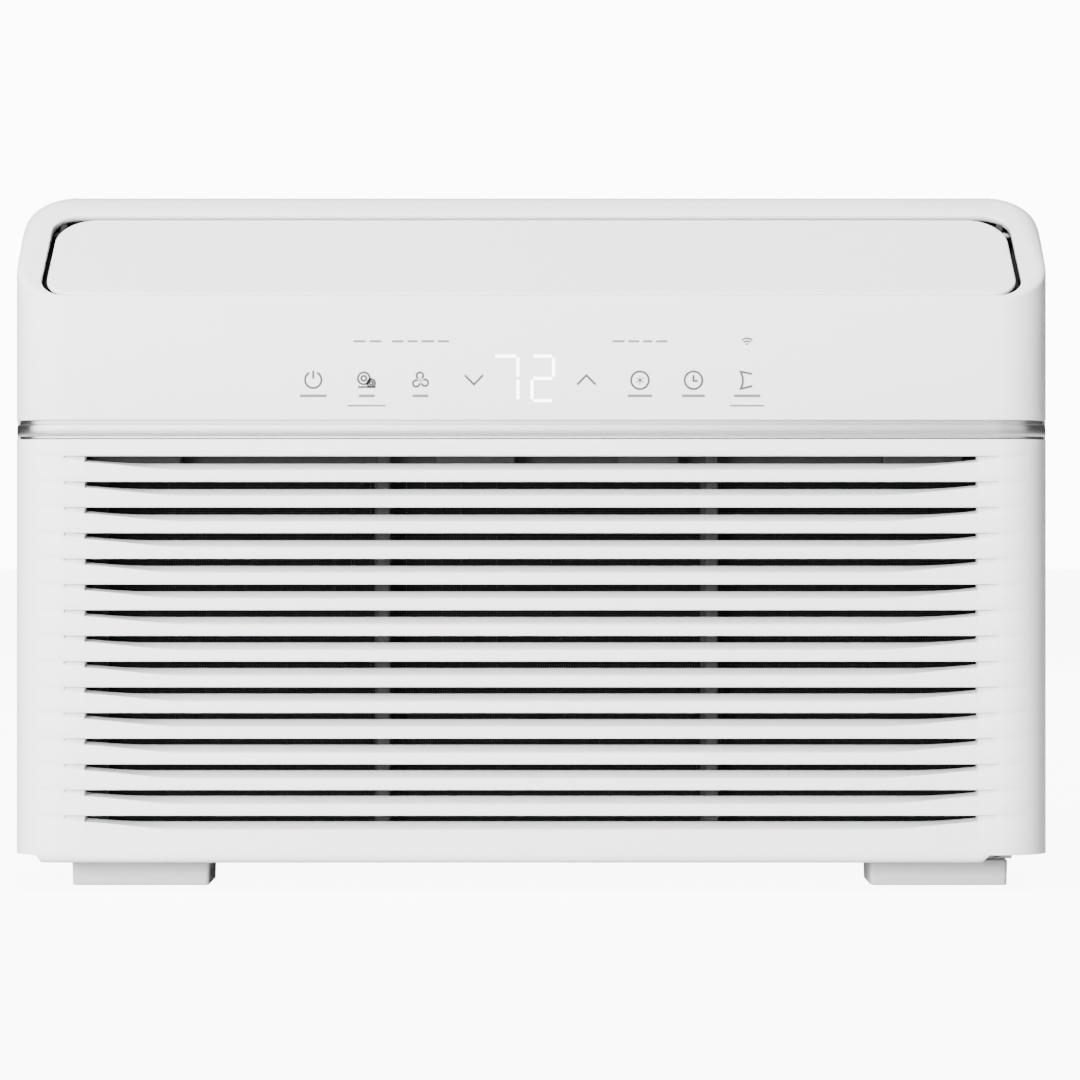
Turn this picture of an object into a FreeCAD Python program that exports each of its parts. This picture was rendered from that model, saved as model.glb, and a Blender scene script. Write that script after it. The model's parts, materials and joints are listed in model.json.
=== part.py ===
import FreeCAD, Part
import math
import os
import re

import Sketcher

# A window air conditioner. Millimetres, +Z up, the front faces -Y, and the origin is the middle of
# the footprint at the feet. "deep(x)" below is a place x millimetres behind the front face.

SIZES = {
    # the whole machine
    "body_width": 560,
    "body_depth": 560,
    "body_height": 378.5,
    "clearance": 0.4,
    # feet
    "foot_height": 14.2,
    "foot_depth": 58,
    "foot_width": 75.3,
    "foot_setback": 35,
    "foot_left_end": -250.8,
    "foot_right_end": 260,
    "foot_rear_gap": 40,
    # front bezel
    "bezel_depth": 100,
    "bezel_wall": 3,
    "cheek_bottom": 18.4,
    "lip_left": -267,
    "lip_right": 246,
    "corner_radius": 28,
    "top_radius": 22,
    "slope_start_height": 319.4,
    "slope_depth": 78,
    "panel_bottom": 253.2,
    # outlet opening in the slope, measured along the slope from its lower edge
    "opening_start": 1.2,
    "opening_end": 80,
    "opening_half": 265,
    # flap
    "flap_start": 2.6,
    "flap_end": 75.9,
    "flap_half": 262.2,
    "flap_thick": 3,
    "flap_corner": 10,
    "flap_pivot_run": 71,
    "flap_pivot_drop": 8,
    "flap_pin_radius": 2.5,
    "flap_hub_radius": 5,
    "flap_hub_width": 4,
    "shaft_fit": 0.05,
    "bearing_width": 8,
    "motor_can_radius": 12,
    "motor_can_offset": 8,
    "motor_can_width": 9.6,
    "motor_can_gap": 0.8,
    # trim strip
    "strip_bottom": 243.4,
    "strip_top": 253,
    "strip_wall": 3,
    "strip_setback": 0.6,
    # intake grille
    "grille_top": 242.9,
    "grille_depth": 29,
    "grille_wall": 3,
    "grille_plate": 16,
    "gap_first": 233.8,
    "gap_pitch": 13.85,
    "gap_count": 15,
    "gap_open": 3.9,
    "gap_slope": 3.8,
    "gap_slope_run": 10,
    "gap_half": 241,
    "rib_left": -83.4,
    "rib_right": 94.4,
    "rib_width": 6.8,
    "catch_width": 36,
    "grille_seam": 0.8,
    "hook_width": 20,
    "rail_round": 1.5,
    "hook_place": 190,
    "hook_thick": 3,
    "hook_reach": 5.2,
    # filter
    "filter_front": 33,
    "filter_thick": 6,
    "filter_bottom": 24,
    "filter_top": 238,
    "filter_left": -240,
    "filter_border": 9,
    "filter_bar": 4,
    "mesh_thick": 0.8,
    # intake frame
    "frame_front": 40,
    "frame_thick": 2.5,
    "frame_half": 262,
    "frame_low": 20,
    "frame_high": 250,
    "frame_window_left": -201,
    "frame_window_right": 236,
    "rail_reach": 4.4,
    "sensor_left": 4,
    "sensor_right": 17,
    "sensor_low": 76,
    "sensor_high": 98,
    "sensor_thick": 4,
    # evaporator
    "evap_front": 46,
    "evap_depth": 38,
    "evap_left": -222,
    "evap_right": 214,
    "evap_low": 30,
    "evap_high": 240,
    "fin_thick": 0.5,
    "evap_fin_count": 44,
    "tube_radius": 3.5,
    "evap_rows": 10,
    "tube_bend_reach": 4,
    "end_plate": 1.2,
    "tray_wall": 2,
    "tray_height": 13,
    # fan line
    "shaft_x": -50,
    "shaft_z": 165,
    "shaft_radius": 6,
    "shaft_front": 140,
    "shaft_back": 402,
    "bore_fit": 0.05,
    # blower wheel and scroll
    "wheel_front": 102,
    "wheel_width": 74,
    "wheel_radius": 88,
    "wheel_inner": 72,
    "wheel_blades": 30,
    "wheel_blade_thick": 1.2,
    "wheel_ring": 3,
    "wheel_plate": 2,
    "hub_radius": 14,
    "hub_length": 26,
    "scroll_front": 95,
    "scroll_depth": 92,
    "scroll_wall": 2.5,
    "scroll_tongue": 100,
    "scroll_side": 138,
    "scroll_top": 284,
    "inlet_radius": 70,
    "inlet_lip": 4,
    # outlet duct and vanes
    "duct_half": 266.4,
    "duct_wall": 2,
    "duct_floor": 284,
    "duct_roof": 363,
    "duct_back": 190,
    "duct_lip_front": 14,
    "duct_lip_height": 309,
    "duct_step": 40,
    "duct_roof_front": 80,
    "vane_count": 8,
    "vane_pitch": 62,
    "vane_thick": 1.6,
    "vane_front": 64,
    "vane_back": 104,
    "vane_front_high": 342,
    "vane_shoulder": 80,
    "vane_gap_low": 7.5,
    "vane_pivot": 92,
    "vane_pin_radius": 2,
    "vane_boss_radius": 3,
    "vane_crank": 22,
    "link_thick": 3,
    "link_width": 9,
    "link_pin_radius": 1.5,
    "link_slot_fit": 0.4,
    "link_end": 12,
    # fan motor
    "motor_front": 206,
    "motor_length": 92,
    "motor_radius": 54,
    "motor_neck": 18,
    "motor_neck_length": 8,
    "bracket_half": 48,
    "bracket_thick": 3,
    # bulkhead
    "bulkhead_front": 192,
    "bulkhead_thick": 1.2,
    "bulkhead_hole": 24,
    # condenser fan and shroud
    "fan_front": 352,
    "fan_depth": 36,
    "fan_ring": 140,
    "fan_ring_wall": 3,
    "fan_hub": 32,
    "fan_blades": 5,
    "fan_blade_thick": 2.5,
    "shroud_front": 366,
    "shroud_plate": 3,
    "shroud_hole": 144.5,
    "shroud_half": 260,
    "shroud_high": 344,
    # condenser
    "cond_front": 470,
    "cond_depth": 44,
    "cond_left": -244,
    "cond_right": 236,
    "cond_low": 24,
    "cond_high": 340,
    "cond_fin_count": 48,
    "cond_rows": 12,
    # compressor
    "comp_x": 178,
    "comp_setback": 272,
    "comp_radius": 58,
    "comp_low": 30,
    "comp_high": 236,
    "comp_dome": 26,
    "comp_foot": 78,
    "comp_foot_thick": 3,
    "grommet_radius": 11,
    "stud_radius": 3,
    "nut_radius": 6,
    "nut_height": 5,
    "terminal_radius": 16,
    "terminal_height": 18,
    "acc_radius": 22,
    "acc_low": 74,
    "acc_high": 204,
    "acc_gap": 4,
    "pipe_radius": 4,
    "thin_radius": 3,
    "pipe_hole_fit": 1.5,
    "pipe_lane": 267.2,
    "suction_lane": 257,
    "discharge_level": 292,
    "suction_level": 264,
    "liquid_level": 190,
    "capillary_level": 96,
    "drier_x": 248,
    "drier_setback": 346,
    "drier_low": 112,
    "suction_radius": 5,
    "drier_radius": 9,
    "drier_length": 60,
    # control electronics
    "board_setback": 8,
    "board_thick": 1.6,
    "board_half": 130,
    "board_low": 259,
    "board_high": 299,
    "display_half": 26,
    "display_low": 261,
    "display_high": 292,
    "ebox_left": 125,
    "ebox_right": 250,
    "ebox_front": 100,
    "ebox_back": 182,
    "ebox_low": 30,
    "ebox_high": 236,
    "ebox_wall": 2,
    # base pan, cabinet, guard
    "pan_setback": 42.6,
    "pan_half": 263,
    "pan_sheet": 1.2,
    "pan_flange": 18,
    "cabinet_setback": 92,
    "cabinet_half": 274,
    "cabinet_top": 372.5,
    "cabinet_sheet": 1.2,
    "cabinet_radius": 16,
    "rear_setback": 546,
    "louvre_length": 74,
    "louvre_height": 5,
    "louvre_pitch": 12,
    "louvre_rows": 16,
    "louvre_low": 120,
    "louvre_front": 215,
    "louvre_front_second": 305,
    "guard_border": 18,
    "guard_bar": 4,
    "guard_columns": 3,
    "guard_rows": 17,
    "rail_hole_radius": 2.2,
    "rail_hole_setback": 118,
    "rail_hole_spacing": 400,
    "side_hole_spacing": 240,
    "side_hole_low": 80,
    "screw_radius": 2,
    "screw_head_radius": 4.2,
    "screw_head": 2.4,
    "screw_length": 8,
    "cabinet_screw_length": 14,
    "cabinet_screw_high": 25,
    "bezel_screw_setback": 96,
    "bezel_screw_low": 60,
    "bezel_screw_spacing": 200,
    # cord gland and drain plug
    "gland_x": 254.5,
    "gland_high": 21.6,
    "gland_radius": 5.4,
    "gland_lip": 1.2,
    "gland_bore": 3.8,
    "gland_room": 244,
    "gland_room_high": 32,
    "plug_radius": 8,
    "plug_x": -120,
    "plug_setback": 530,
}

doc = FreeCAD.newDocument("window_air_conditioner")
sheet = doc.addObject("Spreadsheet::Sheet", "dims")
for row, (alias, value) in enumerate(SIZES.items(), start=1):
    sheet.set(f"A{row}", str(value))
    sheet.setAlias(f"A{row}", alias)
doc.recompute()

WORD = re.compile(r"\b(" + "|".join(sorted(SIZES, key=len, reverse=True)) + r")\b")
ROLES = {"x": "YZ_Plane", "y": "XZ_Plane", "z": "XY_Plane"}
TURNS = {"x": ((0, 1, 0), 90), "y": ((1, 0, 0), -90), "z": ((0, 0, 1), 0)}
pieces = []


# ---------------------------------------------------------------- helpers

def formula(text):
    """A formula in sheet names, with each name given its sheet."""
    return WORD.sub(r"dims.\1", str(text))


def value_of(text):
    """The number that a formula in sheet names stands for now."""
    return float(sheet.evalExpression(formula(text)))


def bind(thing, prop, text):
    """Ties a property of an object to a formula."""
    thing.setExpression(prop, formula(text))


def deep(text):
    """The Y of a place that is so far behind the front face."""
    return f"(-body_depth / 2 + {text})"


def slope_angle():
    return "atan((body_height - slope_start_height) / slope_depth)"


def slope_deep(run, rise="0"):
    """The Y of a place along the slope and so far above its surface."""
    return deep(f"({run}) * cos({slope_angle()}) - ({rise}) * sin({slope_angle()})")


def slope_high(run, rise="0"):
    """The Z of a place along the slope and so far above its surface."""
    return f"(slope_start_height + ({run}) * sin({slope_angle()}) + ({rise}) * cos({slope_angle()}))"


def name_piece(piece, label):
    """Gives a sub-part its label and puts it on the list of pieces."""
    piece.Label = label
    pieces.append(piece)
    return piece


def block(name, x_span, y_span, z_span):
    """A box between six formulas."""
    piece = doc.addObject("Part::Box", name)
    for prop, axis, (low, high) in zip(("Length", "Width", "Height"), "xyz", (x_span, y_span, z_span)):
        bind(piece, prop, f"({high}) - ({low})")
        bind(piece, f"Placement.Base.{axis}", low)
    return piece


def slope_block(name, x_span, run_span, rise_span):
    """A box that lies along the slope of the front."""
    piece = doc.addObject("Part::Box", name)
    bind(piece, "Length", f"({x_span[1]}) - ({x_span[0]})")
    bind(piece, "Width", f"({run_span[1]}) - ({run_span[0]})")
    bind(piece, "Height", f"({rise_span[1]}) - ({rise_span[0]})")
    piece.Placement.Rotation = FreeCAD.Rotation(FreeCAD.Vector(1, 0, 0), 1)
    bind(piece, "Placement.Rotation.Angle", slope_angle())
    bind(piece, "Placement.Base.x", x_span[0])
    bind(piece, "Placement.Base.y", slope_deep(run_span[0], rise_span[0]))
    bind(piece, "Placement.Base.z", slope_high(run_span[0], rise_span[0]))
    return piece


def rod(name, axis, start, length, radius):
    """A cylinder from a start point along the +X, +Y or +Z axis."""
    piece = doc.addObject("Part::Cylinder", name)
    turn_axis, angle = TURNS[axis]
    piece.Placement.Rotation = FreeCAD.Rotation(FreeCAD.Vector(*turn_axis), angle)
    bind(piece, "Radius", radius)
    bind(piece, "Height", length)
    for letter, place in zip("xyz", start):
        bind(piece, f"Placement.Base.{letter}", place)
    return piece


def join(name, *parts):
    """One solid of several that touch or overlap."""
    piece = doc.addObject("Part::MultiFuse", name)
    piece.Shapes = list(parts)
    return piece


def shared(name, *parts):
    """What several solids have in common."""
    piece = doc.addObject("Part::MultiCommon", name)
    piece.Shapes = list(parts)
    return piece


def cut(name, base, *tools):
    """A solid with one or more others taken out of it."""
    piece = doc.addObject("Part::Cut", name)
    piece.Base = base
    piece.Tool = tools[0] if len(tools) == 1 else join(f"{name}_tools", *tools)
    return piece


def origin_part(body, role):
    """A plane or an axis of a body's own origin."""
    return next(part for part in body.Origin.OriginFeatures if part.Role == role)


def outline(body, name, axis, offset, points):
    """A closed outline across an axis, each corner tied to its two formulas."""
    sketch = body.newObject("Sketcher::SketchObject", name)
    sketch.AttachmentSupport = (origin_part(body, ROLES[axis]), [""])
    sketch.MapMode = "FlatFace"
    bind(sketch, "AttachmentOffset.Base.z", f"-({offset})" if axis == "y" else offset)
    corners = [FreeCAD.Vector(value_of(across), value_of(up), 0) for across, up in points]
    following = corners[1:] + corners[:1]
    sketch.addGeometry([Part.LineSegment(one, two) for one, two in zip(corners, following)])
    for index, (across, up) in enumerate(points):
        sketch.addConstraint(Sketcher.Constraint("Coincident", index, 2, (index + 1) % len(points), 1))
    for index, (across, up) in enumerate(points):
        for kind, text, number in (("DistanceX", across, corners[index].x),
                                   ("DistanceY", up, corners[index].y)):
            place = sketch.addConstraint(Sketcher.Constraint(kind, -1, 1, index, 1, number))
            bind(sketch, f"Constraints[{place}]", text)
    return sketch


def prism(name, axis, span, points):
    """A body padded from an outline across an axis, over a span along that axis."""
    body = doc.addObject("PartDesign::Body", name)
    sketch = outline(body, f"{name}_outline", axis, span[0], points)
    pad = body.newObject("PartDesign::Pad", f"{name}_pad")
    pad.Profile = sketch
    pad.Reversed = axis == "y"
    bind(pad, "Length", f"({span[1]}) - ({span[0]})")
    return body


def rectangle(across, up):
    """The four corners of a rectangle between two pairs of formulas."""
    return [(across[0], up[0]), (across[1], up[0]), (across[1], up[1]), (across[0], up[1])]


def round_edges(body, name, radius, wanted):
    """Rounds those edges of a body for which wanted says yes, given the edge's box."""
    doc.recompute()
    base = body.Tip
    names = [f"Edge{number}" for number,
             edge in enumerate(base.Shape.Edges, start=1) if wanted(edge.BoundBox)]
    fillet = body.newObject("PartDesign::Fillet", name)
    fillet.Base = (base, names)
    bind(fillet, "Radius", radius)
    return body


def turned(name, label_axis, centre, points):
    """A body turned about an axis through centre, from (radius, distance along the axis) corners."""
    body = doc.addObject("PartDesign::Body", name)
    sketch = body.newObject("Sketcher::SketchObject", f"{name}_outline")
    sketch.AttachmentSupport = (origin_part(body, "YZ_Plane"), [""])
    sketch.MapMode = "FlatFace"
    bind(sketch, "AttachmentOffset.Base.z", centre[0])
    bind(sketch, "AttachmentOffset.Base.x", centre[1])
    bind(sketch, "AttachmentOffset.Base.y", centre[2])
    along_y = label_axis == "y"
    numbers = [(value_of(radius), value_of(along)) for radius, along in points]
    corners = [FreeCAD.Vector(*((along, radius) if along_y else (radius, along)), 0) for radius,
               along in numbers]
    following = corners[1:] + corners[:1]
    sketch.addGeometry([Part.LineSegment(one, two) for one, two in zip(corners, following)])
    for index in range(len(points)):
        sketch.addConstraint(Sketcher.Constraint("Coincident", index, 2, (index + 1) % len(points), 1))
    for index, (radius, along) in enumerate(points):
        across, up = (along, radius) if along_y else (radius, along)
        for kind, text, number in (("DistanceX", across, corners[index].x),
                                   ("DistanceY", up, corners[index].y)):
            place = sketch.addConstraint(Sketcher.Constraint(kind, -1, 1, index, 1, number))
            bind(sketch, f"Constraints[{place}]", text)
    revolution = body.newObject("PartDesign::Revolution", f"{name}_turn")
    revolution.Profile = sketch
    revolution.ReferenceAxis = (sketch, ["H_Axis" if along_y else "V_Axis"])
    return body


def shaped(name, shape):
    """A piece whose shape is worked out directly from the sheet's sizes."""
    piece = doc.addObject("Part::Feature", name)
    piece.Shape = shape
    piece.Placement = FreeCAD.Placement()
    return piece


def pipe(points, radius, bend):
    """A round bar along straight runs joined by tangent arcs of one bend radius."""
    corners = [FreeCAD.Vector(*point) for point in points]
    edges = []
    start = corners[0]
    for before, here, after in zip(corners, corners[1:], corners[2:]):
        back = (before - here).normalize()
        ahead = (after - here).normalize()
        half = math.pi / 2 - back.getAngle(ahead) / 2
        reach = bend * math.tan(half)
        enter = here + back * reach
        leave = here + ahead * reach
        inward = (back + ahead).normalize()
        middle = here + inward * (bend / math.cos(half) - bend)
        edges.append(Part.LineSegment(start, enter).toShape())
        edges.append(Part.Arc(enter, middle, leave).toShape())
        start = leave
    edges.append(Part.LineSegment(start, corners[-1]).toShape())
    spine = Part.Wire(edges)
    ring = Part.Wire(Part.makeCircle(radius, corners[0], corners[1] - corners[0]))
    return spine.makePipeShell([ring], True, True)


PIVOT_Y = slope_deep("flap_pivot_run", "-flap_pivot_drop")
PIVOT_Z = slope_high("flap_pivot_run", "-flap_pivot_drop")
CAN_START = "body_width / 2 - bezel_wall - motor_can_gap - motor_can_width"


# ---------------------------------------------------------------- front

def bezel_form(name, wall):
    """The solid form of the bezel, its outer faces moved in by a wall."""
    half = f"(body_width / 2 - {wall})"
    low = f"(foot_height + {wall})"
    front = deep(wall)
    back = deep("bezel_depth" if wall == "0" else "bezel_depth + 1")
    plan = prism(f"{name}_plan", "z", (low, "body_height"), rectangle((f"-{half}", half), (front, back)))
    round_edges(plan, f"{name}_plan_round", f"corner_radius - {wall}",
                lambda box: box.ZLength > box.XLength + box.YLength + 1 and box.YMax < value_of(front) + 1)
    face = prism(f"{name}_face", "y", (front, back),
                 rectangle((f"-{half}", half), (low, f"(body_height - {wall})")))
    round_edges(face, f"{name}_face_round", f"top_radius - {wall}",
                lambda box: (box.YLength > box.XLength + box.ZLength + 1
                             and box.ZMin > value_of("body_height / 2")))
    drop = f"{wall} / cos({slope_angle()})"
    side = prism(f"{name}_side", "x", (f"-{half}", half), [
        (front, low),
        (back, low),
        (back, f"body_height - {wall}"),
        (deep(f"slope_depth + {wall} * tan({slope_angle()} / 2)"), f"body_height - {wall}"),
        (front, f"slope_start_height - {drop} + {wall} * tan({slope_angle()})"),
    ])
    return shared(name, plan, face, side)


def front_bezel():
    outer = bezel_form("bezel_outer", "0")
    inner = bezel_form("bezel_inner", "bezel_wall")
    shell = cut("bezel_shell", outer, inner)
    whole = ("-body_width / 2 - 1", "body_width / 2 + 1")
    side_walls = ("body_width / 2 - bezel_wall - 1", "body_width / 2 + 1")
    grille_room = block("bezel_grille_room", whole, (deep("-1"), deep("grille_depth + grille_seam")),
                        ("0", "panel_bottom"))
    floor_room = block("bezel_floor_room", whole, (deep("0"), deep("bezel_depth + 1")),
                       ("foot_height - 1", "cheek_bottom"))
    opening = slope_block("bezel_opening", ("-opening_half", "opening_half"),
                          ("opening_start", "opening_end"),
                          ("-6", "6"))
    slot = block("bezel_filter_slot", side_walls,
                 (deep("filter_front - clearance"), deep("filter_front + filter_thick + clearance")),
                 ("filter_bottom - clearance", "filter_top + clearance"))
    heads = screw_holes("bezel_shank", bezel_screw_places(), "screw_length")
    for seat, inward in bezel_screw_places():
        start = f"{seat[0]}" if inward < 0 else f"{seat[0]} - 10"
        heads.append(rod(f"bezel_head_{len(heads)}", "x", (start, seat[1], seat[2]), "10",
                         "screw_head_radius + clearance / 2"))
    hollow = cut("bezel_hollow", shell, grille_room, floor_room, opening, slot, *heads)
    shelf = block("bezel_shelf", ("-body_width / 2 + corner_radius", "body_width / 2 - corner_radius"),
                  (deep("1"), deep("grille_depth")), ("panel_bottom", "panel_bottom + bezel_wall"))
    bearing = slope_block("bezel_bearing", ("-opening_half - bearing_width", "-opening_half - 1"),
                          ("flap_pivot_run - flap_hub_radius", "flap_pivot_run + flap_hub_radius"),
                          ("-flap_pivot_drop - flap_hub_radius", "-bezel_wall + 0.5"))
    bore = rod("bezel_bore", "x", ("-opening_half - bearing_width - 1", PIVOT_Y, PIVOT_Z),
               "bearing_width + 2",
               "flap_pin_radius + shaft_fit")
    solid = join("bezel_solid", hollow, shelf, bearing)
    return name_piece(cut("bezel", solid, bore), "front_bezel")


def bottom_rail():
    """The rail under the grille; its round front edge is the hinge that the grille's hooks turn on."""
    edge = deep("grille_depth + grille_seam + rail_round")
    flat = block("rail_flat", ("lip_left", "lip_right"), (edge, deep("pan_setback")),
                 ("foot_height", "foot_height + 2 * rail_round"))
    nose = rod("rail_nose", "x", ("lip_left", edge, "foot_height + rail_round"), "lip_right - lip_left",
               "rail_round")
    return name_piece(join("rail", flat, nose), "bottom_rail")


def trim_strip():
    half = "body_width / 2 - strip_setback"
    rounded = "corner_radius - strip_setback"
    outer = prism("strip_outer", "z", ("strip_bottom", "strip_top"),
                  rectangle((f"-({half})", half), (deep("strip_setback"), deep("grille_depth"))))
    round_edges(outer, "strip_outer_round", rounded,
                lambda box: box.ZLength > box.XLength + box.YLength + 1 and box.YMax < value_of(deep("2")))
    inner = prism("strip_inner", "z", ("strip_bottom - 1", "strip_top + 1"),
                  rectangle((f"-({half} - strip_wall)", f"{half} - strip_wall"),
                            (deep("strip_setback + strip_wall"), deep("grille_depth + 1"))))
    round_edges(inner, "strip_inner_round", f"{rounded} - strip_wall",
                lambda box: box.ZLength > box.XLength + box.YLength + 1 and box.YMax < value_of(deep("6")))
    return name_piece(cut("strip", outer, inner), "trim_strip")


def intake_grille():
    """One moulding: a plate with a row of gaps, cheeks round both corners, ribs, catches and hooks."""
    body = doc.addObject("PartDesign::Body", "grille_body")
    half = "body_width / 2"
    plan = outline(body, "grille_plan", "z", "foot_height",
                   rectangle((f"-{half}", half), (deep("0"), deep("grille_depth"))))
    pad = body.newObject("PartDesign::Pad", "grille_pad")
    pad.Profile = plan
    bind(pad, "Length", "grille_top - foot_height")
    round_edges(body, "grille_round", "corner_radius",
                lambda box: box.ZLength > 100 and box.YMax < value_of(deep("2")))
    gap_bottom = "gap_first - gap_open - gap_slope"
    gap = outline(body, "grille_gap", "x", "0", [
        (deep("-1"), "gap_first"),
        (deep("-1"), f"{gap_bottom} - gap_slope / gap_slope_run"),
        (deep("gap_slope_run"), "gap_first - gap_open"),
        (deep("grille_depth + 1"), "gap_first - gap_open"),
        (deep("grille_depth + 1"), "gap_first"),
    ])
    pocket = body.newObject("PartDesign::Pocket", "grille_pocket")
    pocket.Profile = gap
    pocket.SideType = "Symmetric"
    bind(pocket, "Length", "2 * gap_half")
    pattern = body.newObject("PartDesign::LinearPattern", "grille_row")
    pattern.Originals = [pocket]
    pattern.Direction = (origin_part(body, "Z_Axis"), [""])
    pattern.Reversed = True
    bind(pattern, "Length", "gap_pitch * (gap_count - 1)")
    bind(pattern, "Occurrences", "gap_count")
    body.Tip = pattern
    low = "foot_height + 2 * rail_round"
    high = "grille_top - grille_wall"
    middle = block("grille_middle", ("-gap_half - 4", "gap_half + 4"),
                   (deep("grille_plate"), deep("grille_depth + 1")),
                   (low, high))
    tools = [middle]
    for name, side in (("left", "-"), ("right", "")):
        near = f"{side}(gap_half + 4)"
        far = f"{side}({half} - corner_radius / 2)"
        span = (far, near) if side else (near, far)
        tools.append(block(f"grille_cheek_{name}", span,
                           (deep("corner_radius / 3"), deep("grille_depth + 1")), (low, high)))
        outer = f"{side}({half} - grille_wall)"
        span = (outer, far) if side else (far, outer)
        tools.append(block(f"grille_wing_{name}", span,
                           (deep("corner_radius * 0.6"), deep("grille_depth + 1")), (low, high)))
    for name, x_span in (("left", (f"-{half} - 1", "lip_left")), ("right", ("lip_right", f"{half} + 1"))):
        tools.append(block(f"grille_under_{name}", x_span, (deep("-1"), deep("grille_depth + 1")),
                           ("foot_height - 1", "cheek_bottom")))
    panel = cut("grille_panel", body, *tools)
    ribs = []
    for name, place in (("left", "rib_left"), ("right", "rib_right")):
        ribs.append(block(f"grille_rib_{name}", (f"{place} - rib_width / 2", f"{place} + rib_width / 2"),
                          (deep("gap_slope_run + 2"), deep("grille_plate")), (low, high)))
    for name, side in (("left", "-1"), ("right", "1")):
        ribs.append(block(f"grille_hook_{name}",
                          (f"{side} * hook_place - hook_width / 2", f"{side} * hook_place + hook_width / 2"),
                          (deep("grille_plate - 1"), deep("grille_depth + grille_seam + hook_reach")),
                          (f"{low} + clearance", f"{low} + clearance + hook_thick")))
    for number, place in enumerate(("-gap_half + 4 + catch_width / 2", "-gap_half / 4", "gap_half / 4 + 4",
                                    "gap_half - 4 - catch_width / 2"), start=1):
        ribs.append(block(f"grille_catch_{number}",
                          (f"{place} - catch_width / 2", f"{place} + catch_width / 2"),
                          (deep("gap_slope_run + 4"), deep("grille_plate + 4")),
                          ("gap_first - gap_open / 2", f"{high} + 0.5")))
    return name_piece(join("grille", panel, *ribs), "intake_grille")


def outlet_flap():
    """A plate with rounded corners on the slope, with a hub at each end for its pin and its drive shaft."""
    plate = prism("flap_plate", "z", ("-flap_thick", "0"),
                  rectangle(("-flap_half", "flap_half"), ("flap_start", "flap_end")))
    round_edges(plate, "flap_plate_round", "flap_corner",
                lambda box: box.ZLength > box.XLength + box.YLength + 1)
    plate.Placement.Rotation = FreeCAD.Rotation(FreeCAD.Vector(1, 0, 0), 1)
    bind(plate, "Placement.Rotation.Angle", slope_angle())
    bind(plate, "Placement.Base.y", deep("0"))
    bind(plate, "Placement.Base.z", "slope_start_height")
    hubs = []
    for name, side in (("left", "-1"), ("right", "1")):
        middle = f"{side} * (flap_half - flap_hub_width / 2 - 1)"
        span = (f"{middle} - flap_hub_width / 2", f"{middle} + flap_hub_width / 2")
        hubs.append(slope_block(f"flap_web_{name}", span,
                                ("flap_pivot_run - flap_hub_radius", "flap_pivot_run + flap_hub_radius / 2"),
                                ("-flap_pivot_drop", "-flap_thick / 2")))
        hubs.append(rod(f"flap_hub_{name}", "x", (span[0], PIVOT_Y, PIVOT_Z), "flap_hub_width",
                        "flap_hub_radius"))
    pin = rod("flap_pin", "x", ("-opening_half - bearing_width", PIVOT_Y, PIVOT_Z),
              "opening_half + bearing_width - flap_half + 2", "flap_pin_radius")
    socket = rod("flap_socket", "x", ("flap_half - flap_hub_width - 2", PIVOT_Y, PIVOT_Z),
                 "flap_hub_width + 4", "flap_pin_radius")
    solid = join("flap_solid", plate, pin, *hubs)
    return name_piece(cut("flap", solid, socket), "outlet_flap")


def flap_drive_shaft():
    start = "flap_half - flap_hub_width - 1"
    end = f"{CAN_START} + motor_can_width / 2"
    return name_piece(rod("drive_shaft", "x", (start, PIVOT_Y, PIVOT_Z), f"{end} - ({start})",
                          "flap_pin_radius"),
                      "flap_drive_shaft")


def flap_motor():
    start = CAN_START
    can = rod("flap_can", "x", (start, slope_deep("flap_pivot_run", "-flap_pivot_drop - motor_can_offset"),
                                slope_high("flap_pivot_run", "-flap_pivot_drop - motor_can_offset")),
              "motor_can_width", "motor_can_radius")
    bore = rod("flap_can_bore", "x", (f"{start} - 1", PIVOT_Y, PIVOT_Z), "motor_can_width / 2 + 1.5",
               "flap_pin_radius + shaft_fit")
    return name_piece(cut("flap_motor_can", can, bore), "flap_motor")


# ---------------------------------------------------------------- filter and intake frame

FILTER_RIGHT = "body_width / 2"
FILTER_Y = (deep("filter_front"), deep("filter_front + filter_thick"))


def filter_frame():
    """A flat frame with two upright bars, and an end cap that closes the slot in the bezel."""
    right = f"({FILTER_RIGHT} - bezel_wall)"
    plate = block("filter_plate", ("filter_left", FILTER_RIGHT), FILTER_Y, ("filter_bottom", "filter_top"))
    inner_z = ("filter_bottom + filter_border", "filter_top - filter_border")
    bars = ["filter_left", "rib_left", "rib_right", f"{right} - filter_border"]
    windows = []
    for number, (near, far) in enumerate(zip(bars, bars[1:]), start=1):
        start = f"{near} + filter_border" if number == 1 else f"{near} + filter_bar / 2"
        end = far if number == len(bars) - 1 else f"{far} - filter_bar / 2"
        windows.append(block(f"filter_window_{number}", (start, end), (deep("filter_front - 1"),
                             deep("filter_front + filter_thick + 1")), inner_z))
    frame = cut("filter_open", plate, *windows)
    groove = block("filter_groove", ("filter_left + filter_border / 2", f"{right} - filter_border / 2"),
                   MESH_Y,
                   ("filter_bottom + filter_border / 2", "filter_top - filter_border / 2"))
    return name_piece(cut("filter", frame, groove), "filter_frame")


MESH_Y = (deep("filter_front + filter_thick / 2 - mesh_thick / 2"),
          deep("filter_front + filter_thick / 2 + mesh_thick / 2"))


def filter_mesh():
    right = f"({FILTER_RIGHT} - bezel_wall)"
    return name_piece(block("mesh", ("filter_left + filter_border / 2", f"{right} - filter_border / 2"),
                            MESH_Y,
                            ("filter_bottom + filter_border / 2", "filter_top - filter_border / 2")),
                            "filter_mesh")


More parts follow.
